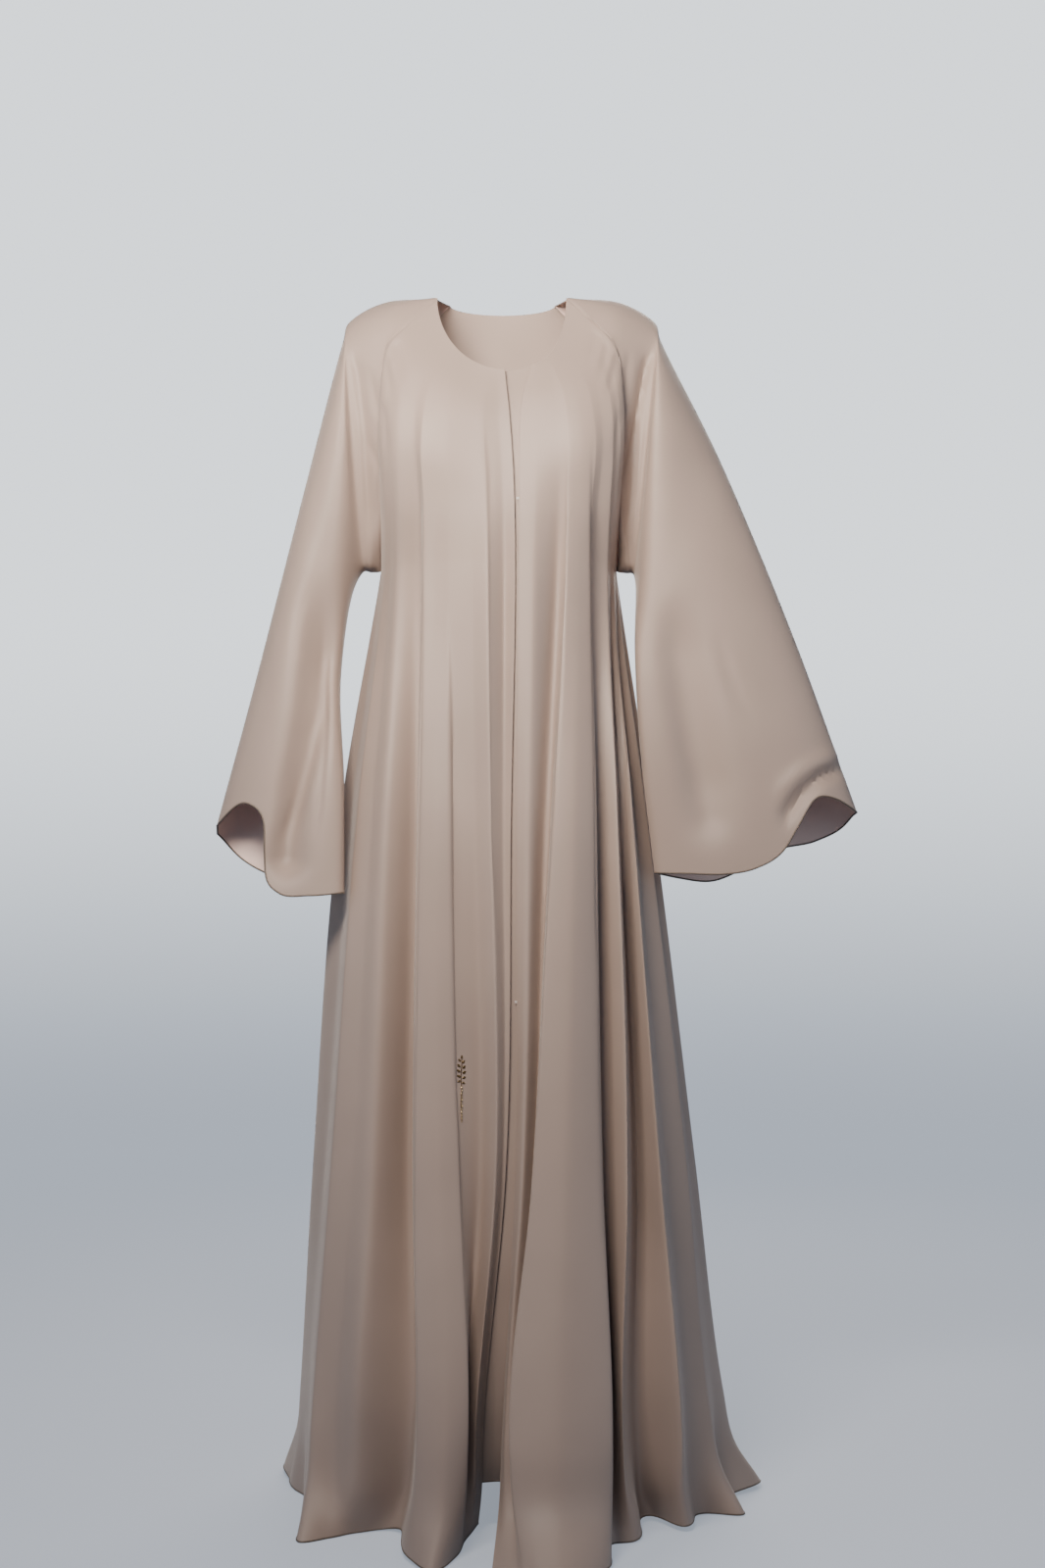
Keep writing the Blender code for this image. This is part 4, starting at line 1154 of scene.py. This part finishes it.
def copy_at(source, matrix):
    """A copy with its own mesh, moved in the mesh so that the object stays at the origin."""
    copy = bpy.data.objects.new(source.name + "_copy", source.data.copy())
    bpy.context.collection.objects.link(copy)
    copy.data.transform(matrix)
    copy.data.update()
    return copy


def flattened(part, *scale):
    """Scales a primitive within its mesh."""
    part.data.transform(Matrix.Diagonal((*scale, 1)))
    part.data.update()
    return part


def leaf_shape():
    """A small pointed leaf, 2 mm long, whose tip points to +X."""
    bpy.ops.mesh.primitive_uv_sphere_add(segments=16, ring_count=8, radius=MM)
    leaf = bpy.context.active_object
    flattened(leaf, 1, 0.55, 0.22)
    for vertex in leaf.data.vertices:
        along = vertex.co.x / MM
        vertex.co.y *= 1.15 - 0.45 * along * along - 0.35 * along
    return leaf


def bead_shape():
    bpy.ops.mesh.primitive_uv_sphere_add(segments=14, ring_count=8, radius=MM)
    return bpy.context.active_object


def snap_half(with_knob):
    """Half a press stud lying flat: a disc with a rim, and a knob or the ring that grips it."""
    bpy.ops.mesh.primitive_cylinder_add(vertices=40, radius=SNAP_RADIUS * 0.94, depth=SNAP_DISC * 0.5)
    parts = [bpy.context.active_object]
    bpy.ops.mesh.primitive_torus_add(
        major_segments=40, minor_segments=8, major_radius=SNAP_RADIUS * 0.9,
        minor_radius=SNAP_DISC * 0.45,
    )
    parts.append(bpy.context.active_object)
    if with_knob:
        bpy.ops.mesh.primitive_uv_sphere_add(segments=20, ring_count=10, radius=SNAP_RADIUS * 0.34)
        parts.append(flattened(bpy.context.active_object, 1, 1, 0.8))
    else:
        bpy.ops.mesh.primitive_torus_add(
            major_segments=32, minor_segments=8, major_radius=SNAP_RADIUS * 0.45,
            minor_radius=SNAP_DISC * 0.5,
        )
        parts.append(bpy.context.active_object)
    deselect_all()
    for part in parts:
        part.select_set(True)
    bpy.context.view_layer.objects.active = parts[0]
    bpy.ops.object.join()
    return bpy.context.active_object


def at_height(column, height):
    """Point of a column of the cloth at a height."""
    return Vector([np.interp(-height, -column[:, 2], column[:, axis]) for axis in range(3)])


def snap_frame(points, height):
    """Edge point of the left front at a height, the ways across and along it, and inwards."""
    edge = at_height(points[:, 0], height)
    across = (at_height(points[:, FINE_STEPS // 2], height) - edge).normalized()
    inward = across.cross(at_height(points[:, 0], height - 10 * MM) - edge).normalized()
    return edge, across, inward.cross(across), inward


class AbayaCloth(bpy.types.PropertyGroup):
    """Sizes and colours of the cloth."""

    thickness: FloatProperty(
        name="Cloth thickness", description="Thickness of the crepe shell",
        default=0.0009, min=0.0004, max=0.002, unit="LENGTH",
    )
    thread: FloatProperty(
        name="Thread spacing", description="Distance from one thread to the next",
        default=0.0006, min=0.0002, max=0.002, unit="LENGTH",
    )
    sheen: FloatProperty(
        name="Sheen", description="Strength of the soft sheen at glancing angles",
        default=0.25, min=0.0, max=1.0, subtype="FACTOR",
    )
    outside_colour: FloatVectorProperty(
        name="Outside", description="Colour of the right side of the crepe",
        default=(0.345, 0.262, 0.220), min=0.0, max=1.0, subtype="COLOR",
    )
    # Inside of the sleeves, far lighter than the cloth: painted light for the light falling into the
    # cuffs
    sleeve_painted_light_colour: FloatVectorProperty(
        name="Inside sleeves", description="Colour inside the sleeves, lit through the thin cloth",
        subtype="COLOR", size=3, default=(0.86, 0.64, 0.56), min=0.0, max=1.0,
    )
    # Wrong side of the crepe, made lighter than the outside as painted light for the room light that
    # reaches the inside
    inside_painted_light_colour: FloatVectorProperty(
        name="Inside", description="Colour of the wrong side of the crepe",
        default=(0.50, 0.39, 0.335), min=0.0, max=1.0, subtype="COLOR",
    )
    thread_colour: FloatVectorProperty(
        name="Hem thread", description="Colour of the overlocked hem thread",
        default=(0.13, 0.10, 0.078), min=0.0, max=1.0, subtype="COLOR",
    )


class AbayaStage(bpy.types.PropertyGroup):
    """Camera and light."""

    distance: FloatProperty(
        name="Camera distance", description="From the neck's plane to the camera",
        default=2.8, min=1.0, max=6.0, unit="LENGTH",
    )
    key_power: FloatProperty(
        name="Key light", description="Power of the large soft light above the front",
        default=45.0, min=0.0, max=500.0, unit="POWER",
    )
    side_power: FloatProperty(
        name="Side lights", description="Power of each soft light beside the garment",
        default=7.5, min=0.0, max=500.0, unit="POWER",
    )
    back_power: FloatProperty(
        name="Back light", description="Power of the soft light behind the garment",
        default=48.0, min=0.0, max=500.0, unit="POWER",
    )


class ABAYA_OT_cloth(bpy.types.Operator):
    """Fronts, back, sleeves and underlap as thin shells"""

    bl_idname = "abaya.cloth"
    bl_label = "Cloth panels"

    def execute(self, context):
        for name, points in dressed_points().items():
            cloth_shell(name, points, name.startswith("sleeve"), (name,))
        return {"FINISHED"}


class ABAYA_OT_hems(bpy.types.Operator):
    """Overlocked hems and cuffs, and rolled front edges"""

    bl_idname = "abaya.hems"
    bl_label = "Hems and edges"

    def execute(self, context):
        cloth = context.scene.abaya_cloth
        thread = crepe_material("hem_thread", cloth.thread_colour, 0.0012, 0.0004)
        roll = crepe_material("edge_roll", cloth.outside_colour, 0.0012, 0.0003)
        for name, points in dressed_points().items():
            closed = name.startswith("sleeve")
            ways = grid_directions(points, closed)[-1]
            line = set_in(points[-1], points[-2])
            if closed:
                line = np.concatenate([line, line[:2]])
                ways = np.concatenate([ways, ways[:2]])
            rolled_tube("hem_" + name, line, ways, HEM_THREAD_RADIUS, thread)
        for name, edge, beside in (("front_left", 0, 1), ("front_right", -1, -2)):
            points = dressed_points()[name]
            ways = grid_directions(points, False)[:, edge]
            line = set_in(points[:, edge], points[:, beside])
            rolled_tube("edge_" + name, line, ways, EDGE_ROLL_RADIUS, roll)
        return {"FINISHED"}


class ABAYA_OT_snaps(bpy.types.Operator):
    """Two closed press studs between the left front and the underlap"""

    bl_idname = "abaya.snaps"
    bl_label = "Press studs"

    def execute(self, context):
        nickel = metal_material("nickel", NICKEL_COLOUR, 0.3)
        tacking = crepe_material("tack_thread", TACK_COLOUR, 0.0004, 0.0002)
        halves = {"socket": snap_half(False), "stud": snap_half(True)}
        bpy.ops.mesh.primitive_cylinder_add(vertices=12, radius=TACK_RADIUS, depth=TACK_LENGTH)
        tack = bpy.context.active_object
        tack.data.transform(Matrix.Rotation(math.pi / 2, 4, "Y"))
        socket_depth = SNAP_WALL / 2 + SNAP_CLEAR + SNAP_DISC / 2
        depths = {"socket": socket_depth, "stud": socket_depth + SNAP_DISC + SNAP_CLEAR}
        for name, height in SNAP_HEIGHTS:
            edge, across, along, inward = snap_frame(dressed_points()["front_left"], height)
            turn = Matrix((across, along, -inward)).transposed().to_quaternion()
            seat = edge + across * SNAP_IN_FROM_EDGE
            for half, depth in depths.items():
                place = Matrix.LocRotScale(seat + inward * depth, turn, None)
                node = name + "_" + half
                joined("nickel_" + node, [copy_at(halves[half], place)], nickel, (node,))
            stitches = []
            for step in (-1, 0, 1):
                spot = edge + along * step * TACK_SPACING - across * TACK_OUT - inward * TACK_BACK
                stitches.append(copy_at(tack, Matrix.LocRotScale(spot, turn, None)))
            joined("tack_" + name, stitches, tacking)
        for spare in (*halves.values(), tack):
            bpy.data.objects.remove(spare)
        return {"FINISHED"}


class ABAYA_OT_sprig(bpy.types.Operator):
    """Small gold sprig with a string of beads on the right front"""

    bl_idname = "abaya.sprig"
    bl_label = "Gold sprig"

    def execute(self, context):
        # Leaves and stem take the dark gold with painted shade, the beads a plain bright gold
        old_gold = metal_material("old_gold", SHADED_GOLD_COLOUR, 0.3)
        bright_gold = metal_material("bright_gold", BRIGHT_GOLD_COLOUR, 0.25)
        panel = dressed_points()["front_right"][:, -6 * FINE_STEPS:]
        leaf = leaf_shape()
        bead = bead_shape()
        parts = []
        beads = []
        for item in LEAVES:
            place = panel_matrix(panel, SPRIG_X + item.across * MM, SPRIG_TOP - item.down * MM)
            turn = Matrix.Rotation(math.radians(item.turn), 4, "Z")
            lift = Matrix.Translation((0, 0, 0.8 * MM))
            parts.append(copy_at(leaf, place @ lift @ turn @ Matrix.Scale(item.long / 2, 4)))
        for item in BEADS:
            place = panel_matrix(panel, SPRIG_X + item.across * MM, SPRIG_TOP - item.down * MM)
            lift = Matrix.Translation((0, 0, (item.radius + 0.45) * MM))
            beads.append(copy_at(bead, place @ lift @ Matrix.Scale(item.radius, 4)))
        line = []
        ways = []
        for down in range(SPRIG_LENGTH):
            place = panel_matrix(panel, SPRIG_X + math.sin(down / 5) * 0.5 * MM, SPRIG_TOP - down * MM)
            line.append(place @ Vector((0, 0, 0.8 * MM)))
            ways.append(place.to_3x3() @ Vector((0, 0, 1)))
        parts.append(shaped_grid("stem", tube_points(np.array(line), np.array(ways), 0.5 * MM), True))
        joined("gold_sprig", parts, old_gold)
        joined("gold_beads", beads, bright_gold)
        for spare in (leaf, bead):
            bpy.data.objects.remove(spare)
        return {"FINISHED"}


class ABAYA_OT_stage(bpy.types.Operator):
    """Pale floor, soft light and the camera"""

    bl_idname = "abaya.stage"
    bl_label = "Stage"

    def execute(self, context):
        stage = context.scene.abaya_stage
        deselect_all()
        bpy.ops.mesh.primitive_circle_add(
            vertices=96, radius=FLOOR_RADIUS, fill_type="NGON", location=(0, 0, FLOOR_Z),
        )
        floor = context.active_object
        floor.name = "floor"
        floor.data.materials.append(floor_material())
        for light in LIGHTS:
            soft_light(light, getattr(stage, light.power))
        make_world()
        bpy.ops.object.camera_add(
            location=(CAMERA_X, -stage.distance, CAMERA_Z),
            rotation=(math.radians(CAMERA_TURN), 0, 0),
        )
        camera = context.active_object
        camera.data.lens = CAMERA_LENS
        camera.data.sensor_width = CAMERA_SENSOR
        camera.data.clip_end = CAMERA_REACH
        context.scene.camera = camera
        return {"FINISHED"}


def soft_light(light, power):
    """A square area light of the table, turned towards its aim."""
    bpy.ops.object.light_add(type="AREA", location=light.place)
    lamp = bpy.context.active_object
    lamp.name = light.name
    lamp.data.energy = power
    lamp.data.size = light.size
    lamp.data.color = light.colour
    lamp.rotation_euler = (Vector(light.aim) - lamp.location).to_track_quat("-Z", "Y").to_euler()


def floor_material():
    """Pale floor that melts into the surroundings away from the garment."""
    material = bpy.data.materials.new("floor")
    material.use_nodes = True
    tree = material.node_tree
    shader = tree.nodes["Principled BSDF"]
    shader.inputs["Base Color"].default_value = FLOOR_COLOUR
    shader.inputs["Roughness"].default_value = 0.8
    shader.inputs["Emission Strength"].default_value = 1.0
    rays = node_of(tree, "ShaderNodeLightPath", (-600, -300))
    glow = node_of(tree, "ShaderNodeMixRGB", (-300, -300))
    set_inputs(glow, Color1=FLOOR_GLOW, Color2=FLOOR_SEEN)
    tree.links.new(rays.outputs["Is Camera Ray"], glow.inputs["Fac"])
    tree.links.new(glow.outputs["Color"], shader.inputs["Emission Color"])
    place = node_of(tree, "ShaderNodeTexCoord", (-800, 0))
    far = node_of(tree, "ShaderNodeVectorMath", (-600, 0), operation="LENGTH")
    fade = node_of(tree, "ShaderNodeMapRange", (-400, 0), interpolation_type="SMOOTHSTEP")
    set_inputs(fade, From_Min=FLOOR_FADES_FROM, From_Max=FLOOR_FADES_BY, To_Min=1.0, To_Max=0.0)
    tree.links.new(place.outputs["Object"], far.inputs[0])
    tree.links.new(far.outputs["Value"], fade.inputs["Value"])
    tree.links.new(fade.outputs["Result"], shader.inputs["Alpha"])
    return material


def make_world():
    """Pale surroundings, lighter above than below, seen brighter than they light the cloth."""
    world = bpy.data.worlds.new("studio")
    bpy.context.scene.world = world
    world.use_nodes = True
    tree = world.node_tree
    lit = tree.nodes["Background"]
    lit.inputs["Color"].default_value = ROUND_COLOUR
    lit.inputs["Strength"].default_value = ROUND_STRENGTH
    seen = node_of(tree, "ShaderNodeBackground", (0, -200))
    place = node_of(tree, "ShaderNodeTexCoord", (-900, -200))
    split = node_of(tree, "ShaderNodeSeparateXYZ", (-700, -200))
    height = node_of(tree, "ShaderNodeMapRange", (-500, -200), interpolation_type="SMOOTHSTEP")
    set_inputs(height, From_Min=-0.13, From_Max=0.10)
    blend = node_of(tree, "ShaderNodeMixRGB", (-250, -200))
    set_inputs(blend, Color1=ROUND_SEEN_LOW, Color2=ROUND_SEEN_HIGH)
    rays = node_of(tree, "ShaderNodeLightPath", (0, 300))
    choice = node_of(tree, "ShaderNodeMixShader", (250, 0))
    tree.links.new(place.outputs["Generated"], split.inputs[0])
    tree.links.new(split.outputs["Z"], height.inputs["Value"])
    tree.links.new(height.outputs["Result"], blend.inputs["Fac"])
    tree.links.new(blend.outputs["Color"], seen.inputs["Color"])
    tree.links.new(rays.outputs["Is Camera Ray"], choice.inputs[0])
    tree.links.new(lit.outputs[0], choice.inputs[1])
    tree.links.new(seen.outputs[0], choice.inputs[2])
    tree.links.new(choice.outputs[0], tree.nodes["World Output"].inputs["Surface"])
    return world


class ABAYA_PT_panel(bpy.types.Panel):
    """Lists the pieces in the sidebar"""

    bl_label = "Abaya cloak"
    bl_idname = "ABAYA_PT_panel"
    bl_space_type = "VIEW_3D"
    bl_region_type = "UI"
    bl_category = "Abaya"

    def draw(self, context):
        for group in (context.scene.abaya_cloth, context.scene.abaya_stage):
            for key in group.__annotations__:
                self.layout.prop(group, key)
        for operator in OPERATORS:
            self.layout.operator(operator.bl_idname)


OPERATORS = (ABAYA_OT_cloth, ABAYA_OT_hems, ABAYA_OT_snaps, ABAYA_OT_sprig, ABAYA_OT_stage)
CLASSES = (AbayaCloth, AbayaStage) + OPERATORS + (ABAYA_PT_panel,)


def register():
    for item in CLASSES:
        bpy.utils.register_class(item)
    bpy.types.Scene.abaya_cloth = PointerProperty(type=AbayaCloth)
    bpy.types.Scene.abaya_stage = PointerProperty(type=AbayaStage)


def unregister():
    del bpy.types.Scene.abaya_stage
    del bpy.types.Scene.abaya_cloth
    for item in reversed(CLASSES):
        bpy.utils.unregister_class(item)


def main():
    register()
    bpy.ops.abaya.cloth()
    bpy.ops.abaya.hems()
    bpy.ops.abaya.snaps()
    bpy.ops.abaya.sprig()
    bpy.ops.abaya.stage()


if __name__ == "__main__":
    main()
